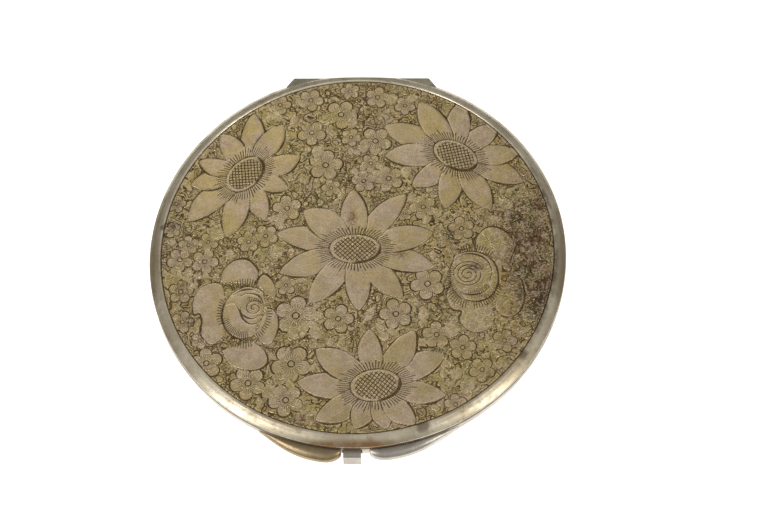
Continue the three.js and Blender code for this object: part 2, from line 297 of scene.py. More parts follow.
def ground_lines(paint, ground):
    """Small scales and curls cut all over the ground."""
    curls = paint.noise(0.42, 1, 0.5, 1.0).cuts(16.0, 0.10, 0.52)
    bent = paint.warped(0.55, 0.9)
    seam = paint.cells(0.58, "DISTANCE_TO_EDGE", bent).fade(0.01, 0.09, 0.8)
    scales = seam | paint.cells(0.58, "F1", bent).cuts(8.5, 0.08, 0.46)
    share = paint.noise(0.12, 2, 0.5).spread(0.42, 0.58)
    worn = paint.noise(0.5, 3, 0.6).spread(0.25, 0.55, 0.55, 1.0)
    return (curls * (1.0 - share) + scales * share) * worn * ground


def bare_metal(paint, ground, cloud, mottle, streaks):
    """Pale petals with brown mottling and fine streaks, and a darker, yellower ground."""
    petal = paint.mix(cloud.spread(0.38, 0.62), (0.62, 0.48, 0.25), (0.71, 0.57, 0.40))
    petal = paint.mix(mottle.spread(0.42, 0.66, 0.0, 0.42), petal, (0.40, 0.31, 0.18))
    petal = paint.mix(streaks.spread(0.44, 0.66, 0.0, 0.34), petal, (0.36, 0.27, 0.16))
    dusk = paint.mix(mottle.spread(0.35, 0.65), (0.40, 0.295, 0.11), (0.72, 0.555, 0.25))
    return paint.mix(ground * 0.85, petal, dusk)


def weathered(paint, colour, ground, stain, cloud, mottle, speckle):
    """Olive patches, dark stains, and specks of rust, green and mauve over the metal."""
    olive = paint.attribute("olive") * mottle.spread(0.3, 0.62)
    colour = paint.mix(olive, colour, (0.55, 0.42, 0.13))
    stained = (stain + (speckle - 0.5) * 1.7).spread(0.16, 0.85) * stain.spread(0.02, 0.3, 0.0, 0.95)
    wine = paint.mix(mottle.spread(0.4, 0.6), (0.17, 0.075, 0.04), (0.075, 0.05, 0.055))
    colour = paint.mix(stained, colour, wine)
    rust = paint.noise(2.2, 3, 0.7).spread(0.56, 0.66) * paint.noise(0.17, 3, 0.6).spread(0.44, 0.62)
    colour = paint.mix(rust * ground.spread(0.0, 1.0, 0.4, 0.95), colour, (0.40, 0.16, 0.045))
    green = speckle.spread(0.40, 0.58) * paint.noise(0.21, 3, 0.6).spread(0.47, 0.62, 0.0, 0.7) * ground
    colour = paint.mix(green, colour, (0.29, 0.28, 0.09))
    mauve = paint.noise(0.9, 3, 0.7).spread(0.5, 0.66, 0.0, 0.8) * cloud.spread(0.4, 0.6)
    return paint.mix(mauve, colour, (0.52, 0.36, 0.31))


def engraved_silver():
    """Chased and matted silver: pale petals, olive ground, brown in the cuts, stains on one side."""
    paint = Paint("engraved_silver", Metallic=0.9)
    ground, stain = paint.attribute("ground"), paint.attribute("stain")
    cloud = paint.noise(0.16, 4, 0.6)
    mottle = paint.noise(0.42, 4, 0.65)
    speckle = paint.noise(1.7, 3, 0.7)
    grain = paint.noise(4.5, 2, 0.6)
    streaks = paint.attribute("vein").along(4.2, 2, 0.6)
    colour = bare_metal(paint, ground, cloud, mottle, streaks)
    colour = weathered(paint, colour, ground, stain, cloud, mottle, speckle)

    fine = seed_cuts(paint) | rose_hatch(paint) | blossom_lines(paint)
    fine = fine | ground_lines(paint, ground) * 0.85
    cut = paint.attribute("cut") * mottle.spread(0.3, 0.6, 0.7, 1.0) | fine * 0.88
    # Painted highlight: a pale band on each side of the cuts, standing for glints off their edges, partly a
    # polished burr.
    glint_and_burr = cut.spread(0.02, 0.16) * cut.fade(0.25, 0.6)
    colour = paint.mix(glint_and_burr * 0.42, colour, (0.88, 0.74, 0.50))
    cut_colour = paint.mix(grain.spread(0.35, 0.65), (0.075, 0.045, 0.018), (0.19, 0.12, 0.052))
    colour = paint.mix(cut.spread(0.2, 0.75) * 0.95, colour, cut_colour)

    dust = paint.mix(grain.spread(0.36, 0.62), (0.40, 0.36, 0.28), (1, 1, 1))
    dusty = paint.mix(1.0, colour, dust, "MULTIPLY")
    colour = paint.mix(ground * 0.22 + 0.40 + stain * 0.4, colour, dusty)
    rough = cloud.spread(0.3, 0.7, 0.34, 0.44) + ground * 0.05 - glint_and_burr * 0.08 + cut * 0.15
    normal = paint.bump(streaks, 0.3, 0.04, paint.bump(1.0 - fine, 1.0, 0.16))
    return paint.finish(colour, paint.bump(grain, 0.3, 0.014, normal), rough)


# Dark spots on the lid's plain band: x, y, radius
BAND_SPOTS = [(12.2, -34.2, 1.7), (29.7, -20.4, 1.5), (-35.6, 4.6, 1.1)]


def band_stains_and_shade(paint, colour, patch, x, y):
    """Stains and painted shade of the plain band: painted brown shade in front for its dark reflection of the
    space before the case, painted dull shade at both sides, dark stain spots, and a painted dark right edge.
    """
    # Painted shade: the front of the band darkened brown, standing for its dark reflection of the space in
    # front of the case.
    brown = y.fade(-37.5 * MM, -36.3 * MM) * abs(x).fade(6 * MM, 16 * MM)
    colour = paint.mix(brown * patch.spread(0.3, 0.6, 0.5, 1.0), colour, (0.30, 0.18, 0.085))
    # Painted shade: both ends of the band darkened, standing for dark reflections at its left and right.
    colour = paint.mix(abs(x).spread(35.2 * MM, 37.2 * MM, 0.0, 0.7), colour, (0.27, 0.21, 0.12))
    # Painted shade along the band's right edge, joined below with the real stain spots.
    right_edge_shade = paint.radius().fade(36.0 * MM, 36.9 * MM) * x.spread(30 * MM, 34 * MM)
    spots_and_edge_shade = paint.spots(BAND_SPOTS) | right_edge_shade * patch.spread(0.35, 0.6)
    return paint.mix(spots_and_edge_shade * 0.75, colour, (0.12, 0.085, 0.06))


def satin_silver(name, light, dark, tarnish, patchy=0.4, stained_and_shaded=False):
    """Worn silver plate: polishing marks, soft clouds, tarnish and dirt at the seam; on the band, stains and
    painted shade as well.
    """
    paint = Paint(name, Metallic=0.85)
    patch = paint.noise(0.45, 4, 0.65)
    marks = paint.turned_marks(9.0)
    x, y, z = paint.axes()
    colour = paint.mix(paint.noise(0.11, 4, 0.6).spread(0.35, 0.65), dark, light)
    colour = paint.mix(patch.spread(0.50, 0.76, 0.0, patchy), colour, tarnish)
    colour = paint.mix(paint.noise(1.6, 3, 0.7).spread(0.62, 0.72, 0.0, patchy), colour, tarnish)
    at_seam = abs(z - SEAM_HEIGHT * MM).fade(0.08 * MM, 0.65 * MM)
    colour = paint.mix(at_seam * patch.spread(0.25, 0.5, 0.5, 0.95), colour, (0.085, 0.065, 0.04))
    # The band adds its stain spots and painted shade to this colour.
    if stained_and_shaded:
        colour = band_stains_and_shade(paint, colour, patch, x, y)
    scratches = paint.noise(1.1, 2, 0.5, 0.4, paint.stretch((1, 14, 1), (0, 0, 0.6)))
    normal = paint.bump(scratches, 0.10, 0.02, paint.bump(marks, 0.12, 0.02))
    return paint.finish(colour, normal, patch.spread(0.3, 0.7, 0.22, 0.33) + marks * 0.08)


def gilt_brass():
    """Gilding with turning marks, worn through to brown brass in patches."""
    paint = Paint("gilt_brass", Metallic=1.0)
    marks = paint.turned_marks(7.0)
    worn = paint.noise(0.6, 4, 0.7)
    colour = paint.mix(paint.noise(0.14, 4, 0.6).spread(0.3, 0.7), (0.70, 0.46, 0.17), (0.83, 0.60, 0.27))
    colour = paint.mix(worn.spread(0.58, 0.75, 0.0, 0.6), colour, (0.45, 0.27, 0.10))
    rough = worn.spread(0.3, 0.7, 0.2, 0.32) + marks * 0.1
    return paint.finish(colour, paint.bump(marks, 0.25, 0.03), rough)


def drawn_wire(name, light, dark):
    """Wire or strip with fine marks along its length."""
    paint = Paint(name, Metallic=1.0)
    draw = paint.noise(1.0, 2, 0.6, 0.0, paint.stretch((0.6, 9, 9)))
    colour = paint.mix(draw.spread(0.35, 0.65), dark, light)
    return paint.finish(colour, paint.bump(draw, 0.2, 0.02), draw.spread(0.3, 0.7, 0.22, 0.38))


def silvered_mirror():
    """Old plate glass over silvering, duller near its edge, with a few dull specks."""
    paint = Paint("silvered_mirror", Metallic=1.0, Coat_Weight=1.0, Coat_Roughness=0.01)
    rim = paint.radius().spread(28.6 * MM, 30.8 * MM)
    colour = paint.mix(rim * 0.5, (0.86, 0.89, 0.88), (0.60, 0.63, 0.58))
    colour = paint.mix(paint.cells(0.09).spread(0.05, 0.075), (0.35, 0.32, 0.28), colour)
    return paint.finish(colour, roughness=paint.noise(0.12, 4, 0.6).spread(0.45, 0.8, 0.012, 0.06))


def grey_card():
    paint = Paint("grey_card", Roughness=0.95)
    fibre = paint.noise(1.4, 5, 0.7)
    colour = paint.mix(fibre.spread(0.3, 0.7), (0.10, 0.075, 0.05), (0.20, 0.155, 0.11))
    return paint.finish(colour, paint.bump(fibre, 0.4, 0.05))


def face_powder():
    paint = Paint("face_powder", Roughness=0.97, Specular_IOR_Level=0.15)
    dust = paint.noise(2.8, 6, 0.75)
    colour = paint.mix(paint.noise(0.15, 3, 0.5).spread(0.3, 0.7), (0.74, 0.50, 0.36), (0.83, 0.61, 0.46))
    colour = paint.mix(dust.spread(0.6, 0.8, 0, 0.4), colour, (0.90, 0.72, 0.58))
    return paint.finish(colour, paint.bump(dust, 0.5, 0.06))


def woven_gauze():
    """A plain weave of fine threads along X and Y."""
    paint = Paint("gauze", Sheen_Weight=0.2, Sheen_Roughness=0.4, Specular_IOR_Level=0.3)
    cloth = paint.threads(2.2, "X") | paint.threads(2.2, "Y")
    slub = paint.noise(0.9, 3, 0.6)
    dark = (0.50, 0.44, 0.36)
    colour = paint.mix(cloth.spread(0.25, 0.95), dark, (0.78, 0.72, 0.62))
    colour = paint.mix(slub.spread(0.35, 0.7, 0.0, 0.25), colour, dark)
    return paint.finish(colour, paint.bump(cloth, 0.5, 0.05), slub.spread(0.3, 0.7, 0.80, 0.90))


def satin_weave():
    """Ribbon satin: long floats across the ribbon give it one soft band of gloss."""
    paint = Paint("satin_ribbon", Sheen_Weight=0.4, Sheen_Roughness=0.3, Anisotropic=0.6)
    floats = paint.noise(2.2, 2, 0.5, 0.0, paint.stretch((0.25, 3.5, 1)))
    colour = paint.mix(floats.spread(0.3, 0.7), (0.80, 0.62, 0.50), (0.90, 0.75, 0.64))
    colour = paint.mix(paint.noise(0.2, 2, 0.5).spread(0.4, 0.7, 0, 0.3), colour, (0.74, 0.56, 0.44))
    return paint.finish(colour, paint.bump(floats, 0.2, 0.03), floats.spread(0.3, 0.7, 0.34, 0.46))


def velour():
    """Short pile that is brighter at grazing angles, brushed in soft patches."""
    paint = Paint("velour", Roughness=0.95, Specular_IOR_Level=0.1, Sheen_Weight=1.0, Sheen_Roughness=0.35)
    brushed = paint.noise(0.16, 3, 0.5, 0.6)
    pile = paint.noise(3.4, 3, 0.7)
    colour = paint.mix(brushed.spread(0.2, 0.8), (0.72, 0.43, 0.34), (0.80, 0.52, 0.42))
    colour = paint.mix(pile.fade(0.3, 0.65, 0.35), colour, (0.50, 0.27, 0.20))
    return paint.finish(colour, paint.bump(pile, 0.7, 0.12))


ENGRAVED = engraved_silver()
BASE_SILVER = satin_silver("base_silver", (0.52, 0.46, 0.38), (0.36, 0.31, 0.24), (0.18, 0.13, 0.085))
# Painted shade: a darker copy of the satin silver for the hinge leaves, which lie low and in shade behind the
# lid's edge.
SHADED_LEAF_SILVER = satin_silver("shaded_leaf_silver", (0.30, 0.28, 0.20), (0.17, 0.155, 0.11), (0.08, 0.07, 0.045))
# The band's colour holds painted shade in front and at its ends, besides its stains.
BAND_SILVER = satin_silver("band_silver", (0.68, 0.61, 0.47), (0.48, 0.41, 0.29), (0.20, 0.14, 0.08),
                           patchy=0.6, stained_and_shaded=True)
SATIN = satin_silver("satin_silver", (0.62, 0.58, 0.52), (0.42, 0.38, 0.33), (0.24, 0.18, 0.13))
WARM_SATIN = satin_silver("warm_silver", (0.40, 0.31, 0.18), (0.26, 0.19, 0.11), (0.12, 0.08, 0.045))
GILT = gilt_brass()
BRASS_WIRE = drawn_wire("brass_wire", (0.70, 0.50, 0.24), (0.42, 0.28, 0.12))
SPRING_STEEL = drawn_wire("spring_steel", (0.50, 0.51, 0.53), (0.26, 0.27, 0.29))
MIRROR = silvered_mirror()
CARD = grey_card()
POWDER = face_powder()
GAUZE = woven_gauze()
RIBBON = satin_weave()
VELOUR = velour()


# ---- Mesh helpers ----
def make_object(name, points, faces, material, smooth=True):
    """points in millimetres."""
    mesh = bpy.data.meshes.new(name)
    mesh.from_pydata(np.asarray(points, float) * MM, [], [list(map(int, face)) for face in faces])
    mesh.update()
    mesh.materials.append(material)
    if smooth:
        shade_smooth(mesh)
    item = bpy.data.objects.new(name, mesh)
    bpy.context.collection.objects.link(item)
    return item


def shade_smooth(mesh):
    mesh.polygons.foreach_set("use_smooth", [True] * len(mesh.polygons))


def face_outwards(item):
    """Turns every face of a closed mesh outwards."""
    work = bmesh.new()
    work.from_mesh(item.data)
    bmesh.ops.recalc_face_normals(work, faces=work.faces)
    work.to_mesh(item.data)
    work.free()
    return item


def bake_modifiers(item):
    """Puts the result of an object's modifiers into its mesh."""
    graph = bpy.context.evaluated_depsgraph_get()
    mesh = bpy.data.meshes.new_from_object(item.evaluated_get(graph))
    item.modifiers.clear()
    item.data = mesh
    return item


def rounded(item, width, segments=2):
    """Softens the hard edges and keeps flat faces flat."""
    bevel = item.modifiers.new("edges", "BEVEL")
    bevel.width = width * MM
    bevel.segments = segments
    bevel.limit_method = "ANGLE"
    bevel.angle_limit = math.radians(35)
    item.modifiers.new("normals", "WEIGHTED_NORMAL").keep_sharp = True
    return item


def sharp_edges(item, angle=32):
    item.data.set_sharp_from_angle(angle=math.radians(angle))
    return item


def settle(item, body, node, slot):
    """Puts a piece on its body, in place of a CAD node."""
    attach(item, body)
    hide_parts(node)
    return item


def arc(centre, size, start, end, steps):
    """(radius, height) points along an ellipse, angles in degrees from outwards to upwards."""
    turn = np.radians(np.linspace(start, end, steps + 1))
    return [(centre[0] + size[0] * math.cos(t), centre[1] + size[1] * math.sin(t)) for t in turn]


def turned(name, outline, material, steps=192, axis="Z", at=(0, 0, 0)):
    """A closed outline of (radius, height) points turned about an axis. Points on the axis become one."""
    points, rings = [], []
    for radius, height in outline:
        count = 1 if radius == 0 else steps
        rings.append(list(range(len(points), len(points) + count)))
        for i in range(count):
            angle = 2 * math.pi * i / steps
            a, b = radius * math.cos(angle), radius * math.sin(angle)
            points.append((a, b, height) if axis == "Z" else (height, a, b))
    faces = []
    for ring, after in zip(rings, rings[1:] + rings[:1]):
        if len(ring) == 1 and len(after) == 1:
            continue
        for i in range(steps):
            j = (i + 1) % steps
            if len(ring) == 1:
                faces.append((ring[0], after[j], after[i]))
            elif len(after) == 1:
                faces.append((ring[i], ring[j], after[0]))
            else:
                faces.append((ring[i], ring[j], after[j], after[i]))
    return sharp_edges(face_outwards(make_object(name, np.array(points) + at, faces, material)))


def loft(name, rings, material, looped=False):
    """A skin over closed rings with the same number of points. It joins end to end, or is capped."""
    count = len(rings[0])
    faces = []
    for i in range(len(rings) - (not looped)):
        here, after = i * count, (i + 1) % len(rings) * count
        for j in range(count):
            k = (j + 1) % count
            faces.append((here + j, here + k, after + k, after + j))
    if not looped:
        faces += [range(count), reversed(range((len(rings) - 1) * count, len(rings) * count))]
    return face_outwards(make_object(name, np.vstack(rings), faces, material))


def grid_faces(index):
    """The squares between the points of a grid."""
    corners = (index[:-1, :-1], index[:-1, 1:], index[1:, 1:], index[1:, :-1])
    return np.stack(corners, axis=-1).reshape(-1, 4)


def grid_rim(index):
    """The points round a grid's edge."""
    return np.concatenate([index[0, :-1], index[:-1, -1], index[-1, :0:-1], index[:0:-1, 0]])


def wall_faces(rim, under):
    """The squares between a ring of points and the ring below it."""
    return np.stack([np.roll(rim, -1), rim, under, np.roll(under, -1)], axis=1)


def heightfield(name, x, y, top, bottom, material, wall=None):
    """A closed solid: a grid of heights over a disc, a short wall and a floor with its middle at bottom.

    The floor is flat, unless a height for the wall is given, which is then the same all round.
    """
    points = np.stack([x.ravel(), y.ravel(), top.ravel()], axis=1)
    index = np.arange(x.size).reshape(x.shape)
    rim = grid_rim(index)
    under = points[rim]
    under[:, 2] = bottom if wall is None else under[:, 2] - wall
    middle = x.size + len(rim)
    sides = wall_faces(rim, np.arange(x.size, middle))
    floor = [(square[3], square[2], middle) for square in sides]
    faces = [*grid_faces(index), *sides, *floor]
    return make_object(name, np.vstack([points, under, [[0, 0, bottom]]]), faces, material)


def make_box(name, low, high, material):
    (x0, y0, z0), (x1, y1, z1) = low, high
    points = [(x, y, z) for z in (z0, z1) for x, y in ((x0, y0), (x1, y0), (x1, y1), (x0, y1))]
    faces = [(3, 2, 1, 0), (4, 5, 6, 7), (0, 1, 5, 4), (1, 2, 6, 5), (2, 3, 7, 6), (3, 0, 4, 7)]
    return make_object(name, points, faces, material, smooth=False)


def cut_box(item, low, high):
    """Takes a box out of an object for good."""
    cutter = make_box("cutter", low, high, SATIN)
    boolean = item.modifiers.new("cut", "BOOLEAN")
    boolean.object = cutter
    boolean.operation = "DIFFERENCE"
    boolean.solver = "EXACT"
    bake_modifiers(item)
    bpy.data.objects.remove(cutter)
    return sharp_edges(item)


def disc_grid(count, radius):
    """An even grid of points over a disc, from a square grid whose shells are bent into rings."""
    side = np.linspace(-1, 1, count)
    u, v = np.meshgrid(side, side)
    wide = np.abs(u) >= np.abs(v)
    with np.errstate(divide="ignore", invalid="ignore"):
        r = np.where(wide, u, v)
        turn = np.where(wide, np.pi / 4 * v / u, np.pi / 2 - np.pi / 4 * u / v)
    turn = np.nan_to_num(turn)
    return radius * r * np.cos(turn), radius * r * np.sin(turn)


def ripples(x, y, longest, shortest, count, seed):
    """Sum of sine waves of random directions, about -1 to 1."""
    random = np.random.default_rng(seed)
    total = np.zeros_like(x)
    for _ in range(count):
        wave = 2 * math.pi / random.uniform(shortest, longest)
        turn, phase = random.uniform(0, 2 * math.pi, 2)
        total += np.sin(wave * (x * math.cos(turn) + y * math.sin(turn)) + phase)
    return total / math.sqrt(count)


# ---- Engraving: its layout, in millimetres on the lid, x to the right and y towards the hinge ----
SUNFLOWERS = [
    {
        "seeds": (-0.3, 0.0, 4.7, 2.95, 0),
        "petals": [(-14.7, 3.2, 2.4), (-13.9, -4.9, 2.5), (-8.3, -10.9, 2.5), (0.7, -12.4, 2.3),
                   (8.5, -9.9, 2.3),
                   (14.1, -3.6, 2.4), (13.9, 3.3, 2.6), (8.9, 11.3, 2.3), (-0.9, 12.3, 2.5),
                   (-9.9, 8.0, 2.9)],
    },
    {
        "seeds": (17.9, 19.6, 4.5, 2.85, -32),
        "petals": [(4.6, 26.0, 2.6), (4.7, 19.4, 2.5), (9.9, 13.0, 2.2), (16.0, 8.3, 2.3),
                   (24.4, 8.2, 2.4),
                   (30.4, 14.0, 2.4), (30.0, 20.4, 2.2), (26.0, 26.3, 2.2), (18.9, 31.4, 2.3),
                   (11.1, 31.3, 2.5)],
    },
    {
        "seeds": (-21.1, 15.6, 4.3, 2.9, 50),
        "petals": [(-20.1, 28.9, 2.3), (-14.4, 26.4, 2.3), (-10.9, 19.3, 2.2), (-12.9, 12.4, 1.9),
                   (-17.0, 5.9, 2.1),
                   (-23.9, 2.4, 2.4), (-31.2, 5.7, 2.5), (-31.2, 13.4, 2.1), (-30.0, 18.5, 1.9),
                   (-25.9, 24.4, 2.2)],
    },
    {
        "seeds": (3.9, -26.7, 4.5, 3.05, 8),
        "petals": [(-10.0, -26.2, 2.5), (-6.5, -33.4, 2.4), (0.5, -34.9, 2.1), (5.9, -34.9, 1.9),
                   (11.0, -33.9, 2.2),
                   (16.3, -28.5, 2.1), (16.1, -20.7, 2.5), (10.7, -16.2, 2.4), (2.6, -15.9, 2.2),
                   (-6.9, -19.9, 2.6)],
    },
]

# Rose petals, each a run of points along its edge
ROSES = [
    {
        "heart": (-18.2, -11.9, 1.5),
        "turns": 1.7,
        "smooth": 1.0,
        "folds": [
            [(-23.3, -11.2), (-21.9, -10.9), (-20.9, -12.2), (-20.1, -14.0), (-18.6, -15.0),
             (-17.1, -14.5), (-16.2, -12.8)],
            [(-20.9, -9.6), (-19.4, -9.0), (-17.6, -9.4), (-16.6, -10.8), (-16.5, -12.4)],
            [(-22.2, -9.4), (-20.8, -8.5), (-19.0, -8.2), (-17.2, -8.9)],
            [(-20.6, -11.6), (-20.4, -12.9), (-19.3, -13.8), (-18.0, -13.9), (-17.0, -13.1)],
        ],
        "petals": [
            [(-24.5, -6.6), (-24.2, -4.4), (-22.4, -2.4), (-20.0, -2.1), (-18.4, -3.4),
             (-17.7, -5.4), (-18.3, -7.2)],
            [(-23.6, -9.6), (-24.1, -7.4), (-25.9, -6.8), (-28.3, -8.0), (-29.3, -10.3), (-29.1, -13.1),
             (-28.0, -13.0), (-27.5, -14.6), (-27.6, -17.0), (-25.8, -19.0), (-24.3, -18.4),
             (-23.5, -17.4)],
            [(-23.6, -20.1), (-22.4, -22.5), (-20.0, -23.8), (-17.0, -23.9), (-15.3, -22.4),
             (-15.9, -20.2),
             (-18.0, -18.4)],
            [(-16.0, -11.7), (-14.4, -12.5), (-13.6, -14.5), (-13.9, -17.0), (-15.0, -19.0),
             (-16.5, -18.8),
             (-17.8, -17.3)],
            [(-18.1, -7.3), (-17.0, -5.2), (-15.5, -5.8), (-14.4, -8.1), (-14.5, -10.2)],
            [(-16.3, -10.2), (-17.0, -8.4), (-19.3, -7.6), (-22.0, -8.7), (-23.6, -11.2),
             (-23.8, -14.2),
             (-22.5, -16.8), (-20.2, -17.9), (-18.0, -17.3)],
        ],
        "hatch": [(-19.9, -12.8, 4.1, 5.2, 60, 125, 1.9), (-19.9, -12.8, 4.1, 5.2, 150, 205, 1.2),
                  (-19.9, -12.8, 4.1, 5.2, 235, 292, 2.0), (-19.9, -12.8, 4.1, 5.2, 300, 372, 1.3),
                  (-19.9, -12.8, 3.9, 5.0, 195, 285, -1.6), (-19.0, -12.4, 2.9, 2.6, 20, 100, -0.9)],
    },
    {
        "heart": (20.2, -5.0, 2.7),
        "turns": 3.4,
        "smooth": 0.6,
        "folds": [
            [(17.2, -3.2), (18.6, -1.4), (21.0, -0.9), (23.4, -2.0), (24.4, -4.4), (23.8, -7.0)],
            [(18.0, -7.6), (20.0, -9.0), (22.4, -8.8), (24.2, -7.4)],
        ],
        "petals": [
            [(17.0, -7.4), (16.2, -9.2), (17.2, -11.9), (18.9, -12.4), (18.6, -14.3),
             (20.6, -16.3), (23.4, -16.0),
             (24.9, -13.8), (24.6, -12.0)],
            [(24.9, -10.0), (25.4, -12.4), (27.4, -13.4), (29.4, -12.2), (30.3, -9.4),
             (29.8, -6.2), (28.2, -4.4)],
            [(17.8, -1.2), (17.0, -3.8), (17.2, -7.0), (18.6, -9.4), (21.4, -10.4), (24.2, -9.4),
             (25.6, -6.6),
             (25.2, -3.2), (23.2, -1.0), (20.4, -0.4), (17.8, -1.2)],
            [(21.6, -0.2), (21.8, 2.4), (23.4, 4.4), (25.4, 4.6), (27.8, 3.0), (28.6, 0.2),
             (27.6, -2.2)],
        ],
        "hatch": [(21.0, -5.4, 4.5, 5.0, 45, 120, 1.9), (21.0, -5.4, 4.5, 5.0, 195, 262, 1.8),
                  (21.0, -5.4, 4.5, 5.0, 268, 345, 1.7), (21.0, -5.4, 4.4, 4.9, 150, 240, -1.2),
                  (21.0, -5.4, 3.4, 3.6, 250, 330, -1.0)],
    },
]

# Small five-petalled blossoms: x, y, radius
BLOSSOMS = [
    (12.9, -7.0, 3.2), (7.3, -13.0, 3.1), (-3.0, -14.0, 2.9), (-10.6, -13.4, 3.9), (-11.1, -22.7, 3.7),
    (-18.6, -26.4, 3.3), (-26.2, -22.6, 3.0), (-11.8, -29.6, 3.2), (3.0, 22.6, 3.1), (-6.2, 17.4, 3.3),
    (-3.6, 28.4, 3.2), (5.6, 14.6, 2.8), (14.6, -17.0, 2.7), (-13.0, 8.3, 2.8), (-16.7, 2.6, 2.4),
    (-1.6, 23.4, 2.0), (1.0, 14.0, 2.4), (12.0, 8.6, 2.6), (3.2, 32.2, 2.4), (8.4, 30.4, 2.1),
    (-9.4, 31.6, 2.5), (-15.2, 30.6, 2.2), (-9.0, 24.4, 2.8), (-2.0, 33.6, 1.9), (-32.2, -2.2, 2.5),
    (-27.6, -2.6, 2.6), (-31.6, -8.6, 2.4), (-31.0, -14.6, 2.2), (-30.8, 0.8, 2.0), (-27.2, 1.4, 2.0),
    (-19.8, 1.4, 2.2), (-12.6, -7.4, 2.0), (19.0, 4.2, 2.5), (14.2, 12.2, 1.9), (19.2, -19.4, 2.5),
    (22.6, -23.6, 2.4), (18.0, -30.2, 2.1), (26.6, -18.0, 2.3),
    (-34.0, 4.0, 1.7), (-33.6, 9.4, 1.9),
    (22.0, 31.0, 1.6), (-27.6, -18.2, 1.7), (2.2, 17.8, 2.0), (8.6, 7.2, 1.5), (-5.0, 12.6, 1.9),
]

# Soft patches on the lid: x, y, half sizes, strength
STAINS = [
    (31.5, -2, 6, 17, 0.75), (34.2, -10, 4.5, 9, 0.95), (33.4, -15, 3.5, 5, 0.5),
    (29.2, 6.3, 2.6, 2.2, 0.9),
    (26.5, 7.8, 4, 3, 0.45), (16.8, 3.2, 1.1, 1.1, 0.95), (8.2, -1.0, 1.7, 1.4, 0.55),
    (21.4, -3.5, 1.7, 0.9, 0.95),
    (14.9, -20.1, 1.4, 0.5, 0.95), (12.4, -34.3, 2.2, 0.9, 0.95), (-34.2, 5.2, 2.2, 0.9, 0.9),
    (-1.0, 6.4, 1.2, 2.2, 0.55),
    (-9.4, -33.4, 2.4, 1.8, 0.65), (-9.7, 27.5, 4.0, 3.0, 0.35), (-9.6, 19.5, 1.4, 0.7, 0.75),
    (-31.5, -8, 2.4, 9, 0.35),
    (-33.6, 8.6, 2, 5, 0.40), (0.8, 13.6, 1.6, 1.6, 0.45), (33.0, 9, 3, 6, 0.65),
    (30.5, -20.6, 1.2, 1.4, 0.9),
    (24.0, -25.4, 1.2, 1.4, 0.5), (22.9, -9.3, 2.3, 0.8, 0.5), (-29.5, -14.5, 1.2, 1.6, 0.6),
    (-35.5, 2, 1.2, 8, 0.7), (31, 11, 4, 4, 0.45),
]
OLIVES = [
    (-20.5, 24.5, 5, 4, 0.9), (-24.5, 20, 4.5, 4.5, 0.8), (12.5, 28, 3.4, 3.6, 0.9),
    (26, -9, 6, 7, 0.85),
    (21, -22, 5, 4, 0.8), (25, 1, 7, 5, 0.6), (-6.5, 28, 9, 6, 0.5), (27, 19, 4.5, 5, 0.55),
    (-23, 4, 9, 6, 0.5),
    (-12, 22, 8, 6, 0.45), (4, 3.6, 5, 2, 0.3), (-11.5, -26.5, 2, 2, 0.6), (-8, -31, 2, 1.4, 0.6),
    (14, 3.6, 3, 2, 0.5),
    (21, 12, 6, 6, 0.5), (-29, 14, 5, 5, 0.5), (5, -18, 4, 3, 0.35),
]


def smooth_run(points, step=0.06):
    """A soft curve through given points, sampled about every step millimetres."""
    spots = np.array(points, float)
    held = np.vstack([spots[:1], spots, spots[-1:]])
    runs = []
    for p0, p1, p2, p3 in zip(held, held[1:], held[2:], held[3:]):
        t = np.linspace(0, 1, max(2, int(np.hypot(*(p2 - p1)) / step)), endpoint=False)[:, None]
        runs.append(0.5 * (2 * p1 + (p2 - p0) * t + (2 * p0 - 5 * p1 + 4 * p2 - p3) * t ** 2
                           + (3 * p1 - p0 - 3 * p2 + p3) * t ** 3))
    return np.vstack(runs + [spots[-1:]])


def ellipse_run(centre, half, tilt, start=0.0, end=360.0, step=0.06):
    """Points along an ellipse whose long side is tilted by some degrees."""
    turn = np.radians(np.linspace(start, end, max(12, int(abs(end - start) / 57.3 * max(half) / step))))
    x, y = half[0] * np.cos(turn), half[1] * np.sin(turn)
    c, s = math.cos(math.radians(tilt)), math.sin(math.radians(tilt))
    return np.stack([centre[0] + x * c - y * s, centre[1] + x * s + y * c], axis=1)


ENGRAVING_SEED = 7

# Widths of the cuts round a sunflower's petals: thin all along, and bolder where they swell
PETAL_LINE = 0.12
LIT_LINE = 0.15
SHADED_LINE = 0.24
PETAL_FULLNESS = 1.17


